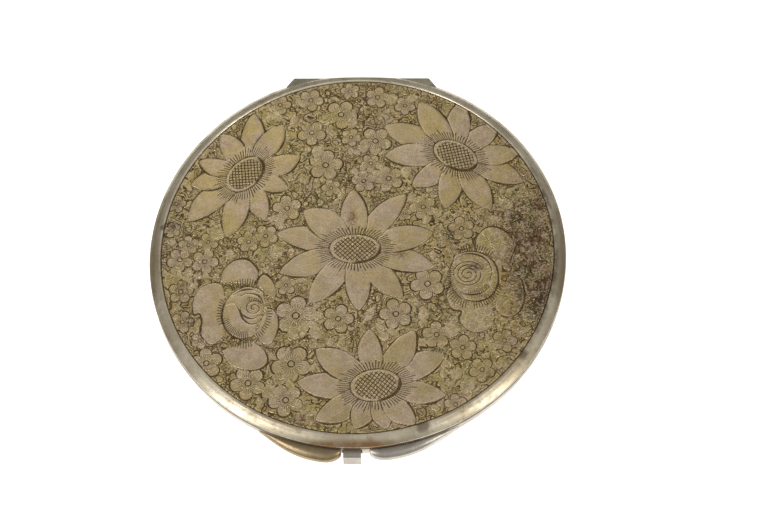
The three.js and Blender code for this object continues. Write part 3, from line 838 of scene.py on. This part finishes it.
class Engraving:
    """Maps over the lid: how deep each spot is cut, how smooth it is, and how its fine lines run."""

    STEP = 0.06
    HALF = 36.6

    def __init__(self):
        self.count = int(2 * self.HALF / self.STEP) + 1
        for name in ("cut", "smooth", "vein", "hatch", "phase"):
            setattr(self, name, np.zeros((self.count, self.count), np.float32))
        self.spots = []
        self.random = np.random.default_rng(ENGRAVING_SEED)

    def cell(self, value):
        return (value + self.HALF) / self.STEP

    def nearest(self, values, x, y):
        """Values of a map at its nearest cells."""
        return values[np.round(self.cell(y)).astype(int), np.round(self.cell(x)).astype(int)]

    def between(self, values, x, y):
        """Values of a map between its cells."""
        cx, cy = self.cell(x), self.cell(y)
        ix, iy = np.floor(cx).astype(int), np.floor(cy).astype(int)
        fx, fy = cx - ix, cy - iy
        ix, iy = np.clip(ix, 0, self.count - 2), np.clip(iy, 0, self.count - 2)
        top = values[iy, ix] * (1 - fx) + values[iy, ix + 1] * fx
        bottom = values[iy + 1, ix] * (1 - fx) + values[iy + 1, ix + 1] * fx
        return top * (1 - fy) + bottom * fy

    def inside(self, outline):
        """The box round an outline, the places in it, and which of them lie inside the outline."""
        low = np.clip(np.floor(self.cell(outline.min(axis=0))).astype(int), 0, self.count - 1)
        high = np.clip(np.ceil(self.cell(outline.max(axis=0))).astype(int) + 1, 1, self.count)
        x = np.arange(low[0], high[0]) * self.STEP - self.HALF
        y = np.arange(low[1], high[1]) * self.STEP - self.HALF
        gx, gy = np.meshgrid(x, y)
        held = np.zeros(gx.shape, bool)
        for (ax, ay), (bx, by) in zip(outline, np.roll(outline, -1, axis=0)):
            if ay != by:
                held ^= ((ay > gy) != (by > gy)) & (gx < (bx - ax) * (gy - ay) / (by - ay) + ax)
        return (slice(low[1], high[1]), slice(low[0], high[0])), (gx, gy), held

    def fill(self, outline, level=1.0, wipe=True, heart=None, across=None):
        """Smooth metal inside an outline. wipe clears the cuts that it lies over.

        With heart and across given, it has veins that run from heart at right angles to across.
        """
        where, (gx, gy), held = self.inside(outline[:: max(1, len(outline) // 90)])
        self.smooth[where][held] = level
        if wipe:
            self.cut[where][held] = 0
        if heart is not None:
            away = (gx - heart[0]) * across[0] + (gy - heart[1]) * across[1]
            self.vein[where][held] = (away + self.random.uniform(20, 400))[held]

    def stroke(self, run, width=0.17, depth=1.0, taper=False, follow=True):
        """A cut along a run of points. Tapered cuts thin out at both ends."""
        run = np.asarray(run)
        reach = int(math.ceil((width + self.STEP) / self.STEP))
        widths = np.full(len(run), width)
        depths = np.full(len(run), depth)
        if taper:
            swell = np.sin(np.pi * np.linspace(0.06, 0.94, len(run))) ** 0.6
            widths = widths * (0.45 + 0.55 * swell)
            depths = depths * (0.35 + 0.65 * swell)
        cx, cy = self.cell(run[:, 0]), self.cell(run[:, 1])
        ix, iy = np.round(cx).astype(int), np.round(cy).astype(int)
        for dx in range(-reach, reach + 1):
            for dy in range(-reach, reach + 1):
                jx, jy = ix + dx, iy + dy
                ok = (jx >= 0) & (jy >= 0) & (jx < self.count) & (jy < self.count)
                away = np.hypot(jx - cx, jy - cy) * self.STEP
                level = depths * np.clip(1.25 - away / widths, 0, 1)
                np.maximum.at(self.cut, (jy[ok], jx[ok]), level[ok].astype(np.float32))
        if follow:
            self.spots.append(run)

    def swelling_stroke(self, run, thin, bold, where):
        """A thin cut that swells to a bold one round a share of its length."""
        self.stroke(run, thin, 0.85)
        start, end = (int(len(run) * share) for share in (max(0, where - 0.28), min(1, where + 0.28)))
        self.stroke(run[start:end], bold, 1.0, taper=True, follow=False)

    def fringe(self, centre, half, start, end, length):
        """Where the material draws short cuts on an ellipse, outwards or (length below 0) inwards."""
        reach = max(half) + max(length, 0) + 0.3
        corners = np.array([[-1, -1], [1, -1], [1, 1], [-1, 1]]) * reach + centre
        where, (gx, gy), held = self.inside(corners)
        dx, dy = (gx - centre[0]) / half[0], (gy - centre[1]) / half[1]
        size = sum(half) / 2
        away = (np.hypot(dx, dy) - 1) * size * np.sign(length)
        turn = (np.degrees(np.arctan2(dy, dx)) - start) % 360
        held &= (away > -0.05) & (away < abs(length) * 1.25) & (turn < (end - start) % 360)
        self.hatch[where][held] = (1.3 - away / abs(length))[held]
        self.phase[where][held] = (np.radians(turn) * size)[held]


def petal_outline(base, tip, half_width, bend):
    """A leaf shape, broad at its root, widest past the middle, with a pointed tip."""
    along = tip - base
    length = np.hypot(*along)
    along = along / length
    across = np.array([-along[1], along[0]])
    t = np.linspace(0, 1, max(12, int(length / 0.06)))[:, None]
    width = half_width * np.minimum(1, 0.60 + 1.05 * t - 0.8 * t ** 2) * (1 - t ** 3.3) ** 0.78
    middle = base + along * length * t + across * bend * np.sin(np.pi * t)
    return middle + across * width, middle - across * width


def engrave_sunflower(art, flower):
    x, y, half_long, half_short, tilt = flower["seeds"]
    centre, half = np.array([x, y]), np.array([half_long, half_short])
    c, s = math.cos(math.radians(tilt)), math.sin(math.radians(tilt))
    for tip_x, tip_y, half_width in flower["petals"]:
        tip = np.array([tip_x, tip_y])
        direction = (tip - centre) / np.hypot(*(tip - centre))
        across = np.array([-direction[1], direction[0]])
        turned_back = (direction[0] * c + direction[1] * s, direction[1] * c - direction[0] * s)
        rim_reach = 1 / np.hypot(*(turned_back / half))
        bend = art.random.uniform(-0.5, 0.5)
        one, two = petal_outline(centre + direction * rim_reach * 0.9, tip, half_width * PETAL_FULLNESS, bend)
        art.fill(np.vstack([one, two[::-1]]), heart=centre, across=across)
        near_tip = art.random.uniform(0.45, 0.85, 2)
        bold = (SHADED_LINE, LIT_LINE) if across[1] < across[0] else (LIT_LINE, SHADED_LINE)
        art.swelling_stroke(one, PETAL_LINE, bold[0], near_tip[0])
        art.swelling_stroke(two, PETAL_LINE, bold[1], near_tip[1])
    disc = ellipse_run(centre, half, tilt)
    art.fill(disc, 0.7)
    art.stroke(disc, 0.15, 0.9)
    art.stroke(ellipse_run(centre, half * (0.87, 0.84), tilt), 0.08, 0.6)
    art.stroke(ellipse_run(centre, half * (0.94, 0.92), tilt, 270, 370), 0.24, 1.0, taper=True)


def engrave_rose(art, rose):
    for points in rose["petals"]:
        art.fill(smooth_run(points), rose["smooth"])
    for points in rose["petals"]:
        art.swelling_stroke(smooth_run(points), 0.12, 0.22, art.random.uniform(0.3, 0.7))
    x, y, size = rose["heart"]
    turns = rose["turns"]
    turn = np.linspace(0, 2 * math.pi * turns, int(200 * turns))
    shrink = size * (1 - turn / turn[-1]) ** 0.9 + 0.2
    heart = np.stack([x + shrink * np.cos(turn + 0.6), y + shrink * 0.9 * np.sin(turn + 0.6)], axis=1)
    art.stroke(heart, 0.12, 0.95)
    for points in rose["folds"]:
        art.swelling_stroke(smooth_run(points), 0.10, 0.2, 0.5)
    for x, y, half_x, half_y, start, end, length in rose["hatch"]:
        art.fringe((x, y), (half_x, half_y), start, end, length)


def engrave_ground(art):
    """Small leaves and loops between the flowers."""
    reach = 35.2
    free = art.smooth.copy()
    placed = [(x, y, size * 0.8) for x, y, size in BLOSSOMS]
    for attempt in range(6000):
        x, y = art.random.uniform(-reach, reach, 2)
        size = art.random.uniform(0.7, 1.5)
        if math.hypot(x, y) > reach - size:
            continue
        column, row = int(art.cell(x)), int(art.cell(y))
        window = int(size * 0.8 / art.STEP)
        if free[row - window:row + window, column - window:column + window].max() > 0:
            continue
        if any((x - px) ** 2 + (y - py) ** 2 < (0.72 * (size + other)) ** 2 for px, py, other in placed):
            continue
        placed.append((x, y, size))
        turn = art.random.uniform(0, 360)
        half = (size, size * art.random.uniform(0.55, 0.95))
        if art.random.random() < 0.4:
            art.fill(ellipse_run((x, y), half, turn), art.random.uniform(0.4, 0.8), wipe=False)
        sweep = art.random.uniform(200, 350)
        art.stroke(ellipse_run((x, y), half, turn, 0, sweep), 0.11, 0.8, taper=True, follow=False)
        for share in (0.68, 0.38):
            inner = (half[0] * share, half[1] * share)
            start = art.random.uniform(0, 120)
            curl = ellipse_run((x, y), inner, turn, start, start + 150)
            art.stroke(curl, 0.08, 0.6, taper=True, follow=False)


def draw_engraving():
    """Roses, sunflowers and ground, with a fine line inside the border, worn away on the catch side."""
    art = Engraving()
    for rose in ROSES:
        engrave_rose(art, rose)
    for flower in SUNFLOWERS:
        engrave_sunflower(art, flower)
    engrave_ground(art)
    art.stroke(ellipse_run((0, 0), (35.05, 35.05), 0, -62, 205), 0.10, 0.7, taper=True)
    return art


def soften(values, cells):
    """Box blur by running sums, twice each way."""
    for axis in (0, 1, 0, 1):
        padded = np.concatenate([np.repeat(values.take([0], axis), cells + 1, axis), values,
                                 np.repeat(values.take([-1], axis), cells, axis)], axis)
        total = np.cumsum(padded, axis=axis, dtype=np.float64)
        width = 2 * cells + 1
        upper = total.take(range(width, total.shape[axis]), axis)
        lower = total.take(range(0, total.shape[axis] - width), axis)
        values = ((upper - lower) / width).astype(np.float32)
    return values


# ---- Engraved lid panel ----
GRID = 304
BLOSSOM_SEED = 11
MATTING_SEED = 3

# Depths under the dome
PANEL_DEPTH = 0.02
CUT_DEPTH = 0.13
EDGE_DEPTH = 0.14
GROUND_DEPTH = 0.03
HOLLOW_DEPTH = 0.016
MATTING_DEPTH = 0.010


def grid_place(x, y):
    """The nearest grid row and column of points on the panel."""
    r = np.hypot(x, y) / PANEL_RADIUS
    wide = np.abs(x) >= np.abs(y)
    with np.errstate(divide="ignore", invalid="ignore"):
        u = np.where(wide, np.sign(x) * r, np.sign(y) * r * 4 / np.pi * np.arctan(x / y))
        v = np.where(wide, np.sign(x) * r * 4 / np.pi * np.arctan(y / x), np.sign(y) * r)
    return [np.clip(np.round((np.nan_to_num(share) + 1) / 2 * (GRID - 1)), 0, GRID - 1).astype(int)
            for share in (v, u)]


def pull_to_cuts(art, x, y, reach=0.09):
    """Moves grid points onto the middle of the nearest main cut, so that its floor is one clean line."""
    spots = np.vstack(art.spots)
    spots = spots[np.hypot(spots[:, 0], spots[:, 1]) < PANEL_RADIUS - 0.45]
    row, column = grid_place(spots[:, 0], spots[:, 1])
    away = np.hypot(spots[:, 0] - x[row, column], spots[:, 1] - y[row, column])
    near = np.argsort(-away)
    near = near[away[near] < reach]
    x[row[near], column[near]] = spots[near, 0]
    y[row[near], column[near]] = spots[near, 1]


def patches(spots, x, y):
    """Soft round patches, the strongest one counting."""
    level = np.zeros_like(x)
    for px, py, half_x, half_y, strength in spots:
        level = np.maximum(level, strength * np.exp(-((x - px) / half_x) ** 2 - ((y - py) / half_y) ** 2))
    return level


def nearest_oval(x, y, ovals):
    """Place in the nearest of some ovals, as shares of its half sizes. Its turn is in radians."""
    best, u, v = np.full(x.shape, 1e9), np.zeros_like(x), np.zeros_like(x)
    for cx, cy, half_a, half_b, turn in ovals:
        c, s = math.cos(turn), math.sin(turn)
        a = ((x - cx) * c + (y - cy) * s) / half_a
        b = (-(x - cx) * s + (y - cy) * c) / half_b
        nearer = np.hypot(a, b) < best
        u, v, best = np.where(nearer, a, u), np.where(nearer, b, v), np.minimum(best, np.hypot(a, b))
    return u, v


def crown(radius):
    """Height of the lid's dome."""
    return CROWN_HEIGHT - (CROWN_HEIGHT - BORDER_HEIGHT) * (radius / BORDER_RADIUS) ** 2


def add_engraved_panel(art):
    x, y = disc_grid(GRID, PANEL_RADIUS)
    pull_to_cuts(art, x, y)
    radius = np.hypot(x, y)
    cut = art.between(soften(art.cut, 1), x, y)
    smooth = art.between(soften(art.smooth, 1), x, y)
    swell = art.between(soften(art.smooth, 7), x, y)
    seeds = [(*flower["seeds"][:4], math.radians(flower["seeds"][4])) for flower in SUNFLOWERS]
    disc_u, disc_v = nearest_oval(x, y, seeds)
    random = np.random.default_rng(BLOSSOM_SEED)
    blossoms = [(bx, by, size, size, random.uniform(0, 2 * math.pi)) for bx, by, size in BLOSSOMS]
    bloom_u, bloom_v = nearest_oval(x, y, blossoms)
    bloom_reach = np.hypot(bloom_u, bloom_v)
    lobe = np.abs(np.cos(2.5 * np.arctan2(bloom_v, bloom_u))) ** BLOSSOM_LOBE
    bloom = ((bloom_reach < 1.1) & (smooth < 0.3)).astype(float)
    petals = bloom * (bloom_reach < BLOSSOM_WAIST + (1 - BLOSSOM_WAIST) * lobe)
    cut = np.where(petals > 0, 0, cut)
    smooth = np.maximum(smooth, 0.75 * petals)
    matting = np.abs(np.random.default_rng(MATTING_SEED).normal(0, 1, x.shape))
    edge = np.clip((radius - 35.5) / 0.2, 0, 1)
    height = crown(radius) - PANEL_DEPTH - np.maximum(CUT_DEPTH * cut, EDGE_DEPTH * edge)
    height -= (GROUND_DEPTH * (1 - smooth) + HOLLOW_DEPTH * (1 - swell)) * (1 - edge)
    height -= MATTING_DEPTH * (1 - smooth) * matting
    panel = heightfield("lid_engraved_panel", x, y, height, CROWN_HEIGHT - 0.6, ENGRAVED, wall=0.45)
    layers = {
        "cut": np.maximum(np.clip(cut * 1.25, 0, 1), edge),
        "ground": 1 - smooth,
        "stain": patches(STAINS, x, y),
        "olive": patches(OLIVES, x, y),
        "vein": art.nearest(art.vein, x, y),
        "hatch": art.between(art.hatch, x, y),
        "phase": art.nearest(art.phase, x, y),
        "disc_u": disc_u,
        "disc_v": disc_v,
        "bloom_u": bloom_u,
        "bloom_v": bloom_v,
        "bloom": bloom,
    }
    wall_and_floor = np.zeros(len(panel.data.vertices) - x.size)
    for name, values in layers.items():
        layer = panel.data.attributes.new(name, "FLOAT", "POINT")
        values = np.concatenate([values.ravel(), wall_and_floor])
        layer.data.foreach_set("value", values.astype(np.float32))
    settle(panel, "lid", "lid_shell", "tarnished_silver")


def add_lid_band():
    """The plain band round the picture, rolled over to the wall, with the sheet's underside."""
    inner = PANEL_RADIUS + 0.005
    groove = crown(inner) - EDGE_DEPTH
    outline = [(inner, groove), (35.93, crown(35.93) - 0.04), (36.1, crown(36.1) - 0.02), (36.4, 10.53)]
    outline += [(36.8, 10.41), (37.15, 10.26), (37.45, 10.08), (37.68, 9.9)]
    outline += arc((37.4, 9.5), (0.6, 0.42), 50, 0, 6)
    outline += [(38.0, 9.25), (37.93, 9.16), (37.42, 9.16), (37.3, 9.25), (37.3, 9.4)]
    outline += [(36.9, 9.66), (36.2, 9.86), (35.2, 9.96), (20, 10.28), (0, 10.42), (0, 10.5), (20, 10.36)]
    outline += [(inner - 0.3, 10.1), (inner, 10.14)]
    band = turned("lid_band", outline, BAND_SILVER, 256)
    cut_box(band, (-HINGE_HALF - 0.1, 34.85, 8), (HINGE_HALF + 0.1, 40, 10.02))
    cut_box(band, (-20, HINGE_BACK, 8), (20, 40, 12))
    settle(band, "lid", "lid_shell", "satin_silver")


# ---- Case base ----
def add_base():
    outside = arc((30, 8.5), (8, 8.5), -90, 0, 40)
    inside = arc((30, 8.5), (7.3, 7.8), 0, -90, 28)
    lip = [(38, 8.95), (37.93, 9.04), (37.4, 9.04), (37.3, 8.95)]
    shell = turned("case_base", [(0, 0)] + outside + lip + inside + [(0, 0.7)], BASE_SILVER, 224)
    cut_box(shell, (-HINGE_HALF - 0.1, 34.85, 7.0), (HINGE_HALF + 0.1, 40, 12))
    cut_box(shell, (-1.8, -40, 5.85), (1.7, -36.5, 8.55))
    settle(shell, "base", "base_shell", "tarnished_silver")


def add_rim_bezel():
    outline = [(35.6, 5.4), (36.5, 5.4), (36.5, 5.9), (36.2, 5.9), (36.2, 9.55)]
    ring = turned("rim_bezel", outline + arc((35.9, 9.55), (0.3, 0.2), 0, 180, 8), GILT, 224)
    cut_box(ring, (-14.5, 30, 5.9), (14.5, 40, 12))
    cut_box(ring, (-4.2, -40, 5.9), (4.2, -30, 12))
    settle(ring, "base", "base_rim_bezel", "gilt_brass")


def add_cheek(name, node, tail_x, button_x, fullness, material, slot):
    """Crescent bulge beside the button, swept from a thin tail to a full round end."""
    steps, sides = 72, 28
    root, middle, half_height = CASE_RADIUS + 0.05, 7.5, 1.25
    start, end = math.asin(tail_x / CASE_RADIUS), math.asin(button_x / CASE_RADIUS)
    rings = []
    for step in range(steps + 1):
        share = step / steps
        angle = start + (end - start) * share
        rise = math.sin(math.pi / 2 * min(1, (share + 0.02) / 0.75)) ** 1.25
        round_end = math.sqrt(max(0, 1 - max(0, (share - 0.8) / 0.21) ** 2))
        bulge = max(0.06, fullness * rise * round_end)
        tall = half_height * (0.35 + 0.65 * math.sqrt(rise * round_end))
        ring = []
        for i in range(sides + 1):
            turn = -math.pi / 2 + math.pi * i / sides
            radius = root + bulge * math.cos(turn) ** 0.85 if 0 < i < sides else root
            height = middle + tall * math.sin(turn)
            ring.append((radius * math.sin(angle), -radius * math.cos(angle), height))
        rings.append(ring)
    settle(sharp_edges(loft(name, rings, material), 40), "base", node, slot)


# ---- Hinges ----
def node_ends(node):
    """Where a CAD node begins and ends along X."""
    low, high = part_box(node)
    return low[0] / MM, high[0] / MM


def add_knuckle(name, node, body, radius, bore, axis, material, slot):
    """Tube along X with rounded lips, as long as its CAD node."""
    x0, x1 = node_ends(node)
    lip = 0.12
    start = [(bore, lip / 2), (bore + lip / 2, 0), (radius - lip, 0)]
    start += [(radius - 0.03, lip * 0.4), (radius, lip)]
    outline = [(r, x0 + x) for r, x in start] + [(r, x1 - x) for r, x in reversed(start)]
    settle(turned(name, outline, material, 56, "X", (0, *axis)), body, node, slot)


def add_pin(name, node, radius, axis):
    x0, x1 = node_ends(node)
    bend = np.linspace(0, math.pi / 2, 6)
    dome = [(radius * math.sin(t), radius * 0.45 * (1 - math.cos(t))) for t in bend]
    outline = [(r, x0 + d) for r, d in dome] + [(r, x1 - d) for r, d in reversed(dome)]
    settle(turned(name, outline, BRASS_WIRE, 40, "X", (0, *axis)), "base", node, "brass_wire")


def add_hinges():
    large = (0.85, 0.48, LID_AXIS, SATIN, "satin_silver")
    small = (0.6, 0.34, DOOR_AXIS, GILT, "gilt_brass")
    for side in ("left", "centre", "right"):
        add_knuckle("hinge_tube_base_" + side, "base_knuckle_" + side, "base", *large)
    for side in ("left", "right"):
        add_knuckle("hinge_tube_lid_" + side, "lid_knuckle_" + side, "lid", *large)
        add_knuckle("door_tube_base_" + side, "door_base_knuckle_" + side, "base", *small)
    add_knuckle("door_tube", "door_knuckle", "powder_door", *small)
    add_pin("hinge_pin_wire", "hinge_pin", 0.44, LID_AXIS)
    add_pin("door_pin_wire", "door_hinge_pin", 0.3, DOOR_AXIS)


# ---- Powder well ----
def add_powder():
    outline = [(0, 1.0), (29, 1.0)] + arc((29, 2.0), (1.0, 1.0), -90, 0, 8)
    outline += [(30, 5.9), (30.1, 6.0), (35.3, 6.0)] + arc((35.3, 6.2), (0.1, 0.2), -90, 90, 6)
    outline += [(30.0, 6.4), (29.75, 6.36), (29.6, 6.2), (29.6, 2.1)]
    outline += arc((28.9, 2.1), (0.7, 0.7), 0, -90, 8) + [(0, 1.4)]
    pan = turned("powder_well", outline, GILT)
    cut_box(pan, (-14.5, 34.7, 0.5), (14.5, 40, 12))
    settle(pan, "base", "powder_pan", "gilt_brass")
    x, y = disc_grid(120, 29.25)
    top = 2.86 + 0.05 * ripples(x, y, 14, 5, 9, 5) + 0.025 * ripples(x, y, 3.5, 1.2, 16, 6)
    top -= 0.22 * np.clip((np.hypot(x, y) - 27.6) / 1.6, 0, 1) ** 2
    powder = heightfield("loose_powder", x, y, np.minimum(top, 3.02), 1.47, POWDER)
    settle(powder, "base", "powder_cake", "powder")


def add_sifter():
    outline = [(28.1, 3.15), (28.15, 3.1), (29.35, 3.1), (29.4, 3.15), (29.4, 3.8)]
    outline += arc((29.13, 3.78), (0.27, 0.12), 0, 180, 8) + [(28.85, 3.4), (28.1, 3.4)]
    settle(turned("sifter_hoop", outline, GILT), "base", "sifter_ring", "gilt_brass")
    x, y = disc_grid(90, 28.75)
    top = 3.56 - 0.05 * (1 - (np.hypot(x, y) / 28.75) ** 2) + 0.012 * ripples(x, y, 12, 4, 6, 9)
    cloth = heightfield("sifter_cloth", x, y, top, 3.46, GAUZE)
    settle(cloth, "base", "sifter_gauze", "gauze")


# ---- Puff ----
SIM_SCALE = 20.0
PUFF_MIDDLE = 4.9
SWELL_LIMIT = 0.42


def corner_places(mesh):
    places = np.empty(len(mesh.vertices) * 3)
    mesh.vertices.foreach_get("co", places)
    return places.reshape(-1, 3) / (MM * SIM_SCALE)


def fill_puff(pad):
    """Swells the case by cloth simulation at a larger scale, where it is steady, and caps the swell."""
    pad.data.transform(Matrix.Scale(SIM_SCALE, 4) @ Matrix.Translation((0, 0, -PUFF_MIDDLE * MM)))
    remesh = pad.modifiers.new("remesh", "REMESH")
    remesh.mode = "VOXEL"
    remesh.voxel_size = 0.5 * MM * SIM_SCALE
    bake_modifiers(pad)
    before = corner_places(pad.data)
    cloth = pad.modifiers.new("cloth", "CLOTH")
    cloth.settings.use_pressure = True
    cloth.settings.uniform_pressure_force = 4
    cloth.settings.effector_weights.gravity = 0
    for step in range(1, 21):
        bpy.context.scene.frame_set(step)
    bake_modifiers(pad)
    bpy.context.scene.frame_set(1)
    moved = corner_places(pad.data) - before
    length = np.linalg.norm(moved, axis=1, keepdims=True)
    spots = before + moved * np.minimum(1, SWELL_LIMIT / np.maximum(length, 1e-9))
    add_gathers(spots)
    spots[:, 2] = np.clip(spots[:, 2] + PUFF_MIDDLE + 0.02, 3.78, 6.1)
    pad.data.vertices.foreach_set("co", (spots * MM).ravel())
    pad.data.update()
    subdivide = pad.modifiers.new("subdivide", "SUBSURF")
    subdivide.levels = subdivide.render_levels = 1
    bake_modifiers(pad)
    shade_smooth(pad.data)


def add_gathers(spots):
    """Gathers round the puff's edge and the hollow of its seam, moved into the points themselves."""
    radius = np.hypot(spots[:, 0], spots[:, 1])
    turn = np.arctan2(spots[:, 1], spots[:, 0])
    near_edge = np.exp(-((radius - 26.3) / 1.1) ** 2)
    spots[:, 2] *= 1 + 0.06 * near_edge * np.sin(54 * turn + 2 * np.sin(7 * turn))
    spots[:, 2] -= 0.10 * np.sign(spots[:, 2]) * np.exp(-((radius - 24.9) / 0.5) ** 2)


def add_piping():
    """A rolled satin edge round the puff, with little gathers."""
    around, sides, radius, thick = 360, 12, 27.25, 0.42
    rings = []
    for turn in np.arange(around) * 2 * math.pi / around:
        roll = thick * (1 + 0.14 * math.sin(60 * turn) + 0.06 * math.sin(37 * turn + 1))
        lean = np.arange(sides) * 2 * math.pi / sides
        r, z = radius + roll * np.cos(lean), PUFF_MIDDLE + roll * np.sin(lean)
        rings.append(np.stack([r * math.cos(turn), r * math.sin(turn), z], axis=1))
    settle(loft("puff_edge", rings, RIBBON, looped=True), "base", "puff", "satin_ribbon")


def add_ribbon(pad):
    """A satin strap across the puff, sewn down near its edge and a little slack in the middle."""
    half_length, half_width, thickness = 26.2, 5.5, 0.12
    along, across = 121, 15
    faces = [face.vertices[:] for face in pad.data.polygons]
    tree = BVHTree.FromPolygons([corner.co / MM for corner in pad.data.vertices], faces)
    spots = []
    for u in np.linspace(-half_length, half_length, along):
        for v in np.linspace(-half_width, half_width, across):
            hit = tree.ray_cast(Vector((u * 0.97, v, 12)), Vector((0, 0, -1)))[0]
            rest = hit.z if hit else 5.2
            slack = 0.22 * math.cos(math.pi / 2 * min(1, abs(u) / 22)) ** 0.7 if abs(u) < 22 else 0.0
            ruck = 0.03 * math.sin(1.9 * v + 3 * math.sin(0.21 * u)) * min(1, abs(u) / 26) ** 2
            spots.append((u, v, min(6.46, rest + 0.07 + slack + ruck)))
    spots, half = np.array(spots), np.array([0, 0, thickness / 2])
    index = np.arange(len(spots)).reshape(along, across)
    rim, below = grid_rim(index), index + len(spots)
    faces = [*grid_faces(index), *grid_faces(below)[:, ::-1], *wall_faces(rim, rim + len(spots))]
    ribbon = make_object("puff_strap", np.vstack([spots + half, spots - half]), faces, RIBBON)
    settle(face_outwards(ribbon), "base", "puff_ribbon", "satin_ribbon")


def add_puff():
    """A flat round case with a soft edge, filled, then given its piping and strap."""
    outline = [(0, 4.05)] + arc((25.6, 4.85), (1.6, 0.8), -90, 90, 12) + [(0, 5.65)]
    pad = turned("puff_pad", outline, VELOUR, 96)
    fill_puff(pad)
    settle(pad, "base", "puff", "velour")
    add_piping()
    add_ribbon(pad)


# ---- Powder door ----
def add_door():
    outline = [(0, 6.6), (31.1, 6.6)] + arc((31.1, 6.7), (0.1, 0.1), -90, 0, 3) + [(31.2, 7.1)]
    outline += arc((30.4, 7.1), (0.8, 0.25), 0, 180, 16)
    outline += [(29.3, 7.1), (29.0, 7.04), (28.7, 7.1)]
    outline += [(27.9, 7.1), (27.6, 7.04), (27.3, 7.1), (12.0, 7.1), (0, 7.1)]
    settle(turned("door_disc", outline, GILT), "powder_door", "door_plate", "gilt_brass")
    tab = make_box("door_tab", (-3.4, 31.0, 6.62), (3.4, 31.5, 7.08), GILT)
    settle(rounded(tab, 0.08), "powder_door", "door_plate", "gilt_brass")


# ---- Mirror ----
def add_mirror():
    outline = [(0, 8.0), (30.6, 8.0), (31.0, 8.4), (31.0, 9.15), (30.95, 9.2), (0, 9.2)]
    settle(turned("mirror_plate", outline, MIRROR), "lid", "mirror_glass", "mirror")
    outline = [(30.2, 7.95), (30.25, 7.88), (31.0, 7.8)] + arc((32.1, 8.1), (0.3, 0.3), -90, 0, 6)
    outline += [(32.4, 9.95), (31.5, 9.95), (31.5, 7.95)]
    settle(turned("mirror_ring", outline, GILT), "lid", "mirror_bezel", "gilt_brass")


# ---- CAD nodes that stay ----
SLOT_MATERIALS = {
    "tarnished_silver": BASE_SILVER, "satin_silver": SATIN, "gilt_brass": GILT, "brass_wire": BRASS_WIRE,
    "spring_steel": SPRING_STEEL, "card": CARD, "mirror": MIRROR, "powder": POWDER, "gauze": GAUZE,
    "velour": VELOUR, "satin_ribbon": RIBBON,
}
EDGE_WIDTHS = {
    "push_button": 0.16, "lid_hinge_plate": 0.1, "base_hinge_plate": 0.05, "catch_bolt": 0.06,
    "catch_spring_post_left": 0.08, "catch_spring_post_right": 0.08, "lid_catch_tongue": 0.06,
    "door_finger_lip": 0.08,
}


def finish_cad_nodes():
    """Gives every CAD node its material, and soft edges to those that have a width for them."""
    for row in frame["record"]["subparts"]:
        name, item = row["node"], frame["nodes"][row["node"]]
        for slot in item.material_slots:
            # Hinge leaves take the darker silver with painted shade.
            slot.material = SHADED_LEAF_SILVER if "hinge_plate" in name else SLOT_MATERIALS[row["material_slot"]]
        if name in EDGE_WIDTHS:
            rounded(item, EDGE_WIDTHS[name], 3)


add_engraved_panel(draw_engraving())
add_lid_band()
add_base()
add_rim_bezel()
add_cheek("cheek_left", "catch_cheek_left", -16.5, -2.0, 2.2, WARM_SATIN, "tarnished_silver")
add_cheek("cheek_right", "catch_cheek_right", 18.6, 3.0, 1.85, SATIN, "satin_silver")
add_hinges()
add_powder()
add_sifter()
add_puff()
add_door()
add_mirror()
finish_cad_nodes()


# ---- Stage and light ----
def add_stage():
    paint = Paint("pale_floor", Roughness=0.7, Emission_Strength=0.85, Emission_Color=(1, 1, 1, 1))
    paint.finish(paint.mix(paint.noise(0.01, 2), (0.88, 0.88, 0.87), (0.92, 0.92, 0.91)))
    size = 9000
    floor = make_object("floor", [(-size, -size, 0), (size, -size, 0), (size, size, 0), (-size, size, 0)],
                        [(0, 1, 2, 3)], paint.material)
    floor.location.z = -0.02 * MM


def add_softbox(name, place, size, radiance, colour=(1, 1, 1)):
    """A rectangular light aimed at the case. Its power follows from its size and how bright it looks."""
    place = Vector(place) * MM
    light = bpy.data.lights.new(name, "AREA")
    light.shape = "RECTANGLE"
    light.size, light.size_y = size[0] * MM, size[1] * MM
    light.energy = radiance * math.pi * light.size * light.size_y
    light.color = colour
    item = bpy.data.objects.new(name, light)
    item.location = place
    item.rotation_euler = (Vector((0, 0, 0.005)) - place).to_track_quat("-Z", "Y").to_euler()
    bpy.context.collection.objects.link(item)


def add_light():
    """A dim room that grows brighter upwards, two tall softboxes in front and one behind."""
    world = bpy.data.worlds.new("studio")
    bpy.context.scene.world = world
    world.use_nodes = True
    tree = world.node_tree
    place = tree.nodes.new("ShaderNodeTexCoord")
    parts = tree.nodes.new("ShaderNodeSeparateXYZ")
    ramp = tree.nodes.new("ShaderNodeMapRange")
    tree.links.new(place.outputs["Generated"], parts.inputs[0])
    tree.links.new(parts.outputs["Z"], ramp.inputs[0])
    for socket, value in zip((1, 2, 3, 4), (0.0, 0.75, 0.12, 0.50)):
        ramp.inputs[socket].default_value = value
    tree.nodes["Background"].inputs["Color"].default_value = (1.0, 0.99, 0.97, 1)
    tree.links.new(ramp.outputs[0], tree.nodes["Background"].inputs["Strength"])
    add_softbox("front_left", (-290, -235, 300), (130, 380), 4.6, (1.0, 0.99, 0.97))
    add_softbox("front_right", (320, -190, 290), (130, 360), 3.6, (1.0, 0.96, 0.90))
    add_softbox("back_top", (-120, 420, 520), (260, 260), 0.9)


add_stage()
add_light()

bpy.context.view_layer.update()
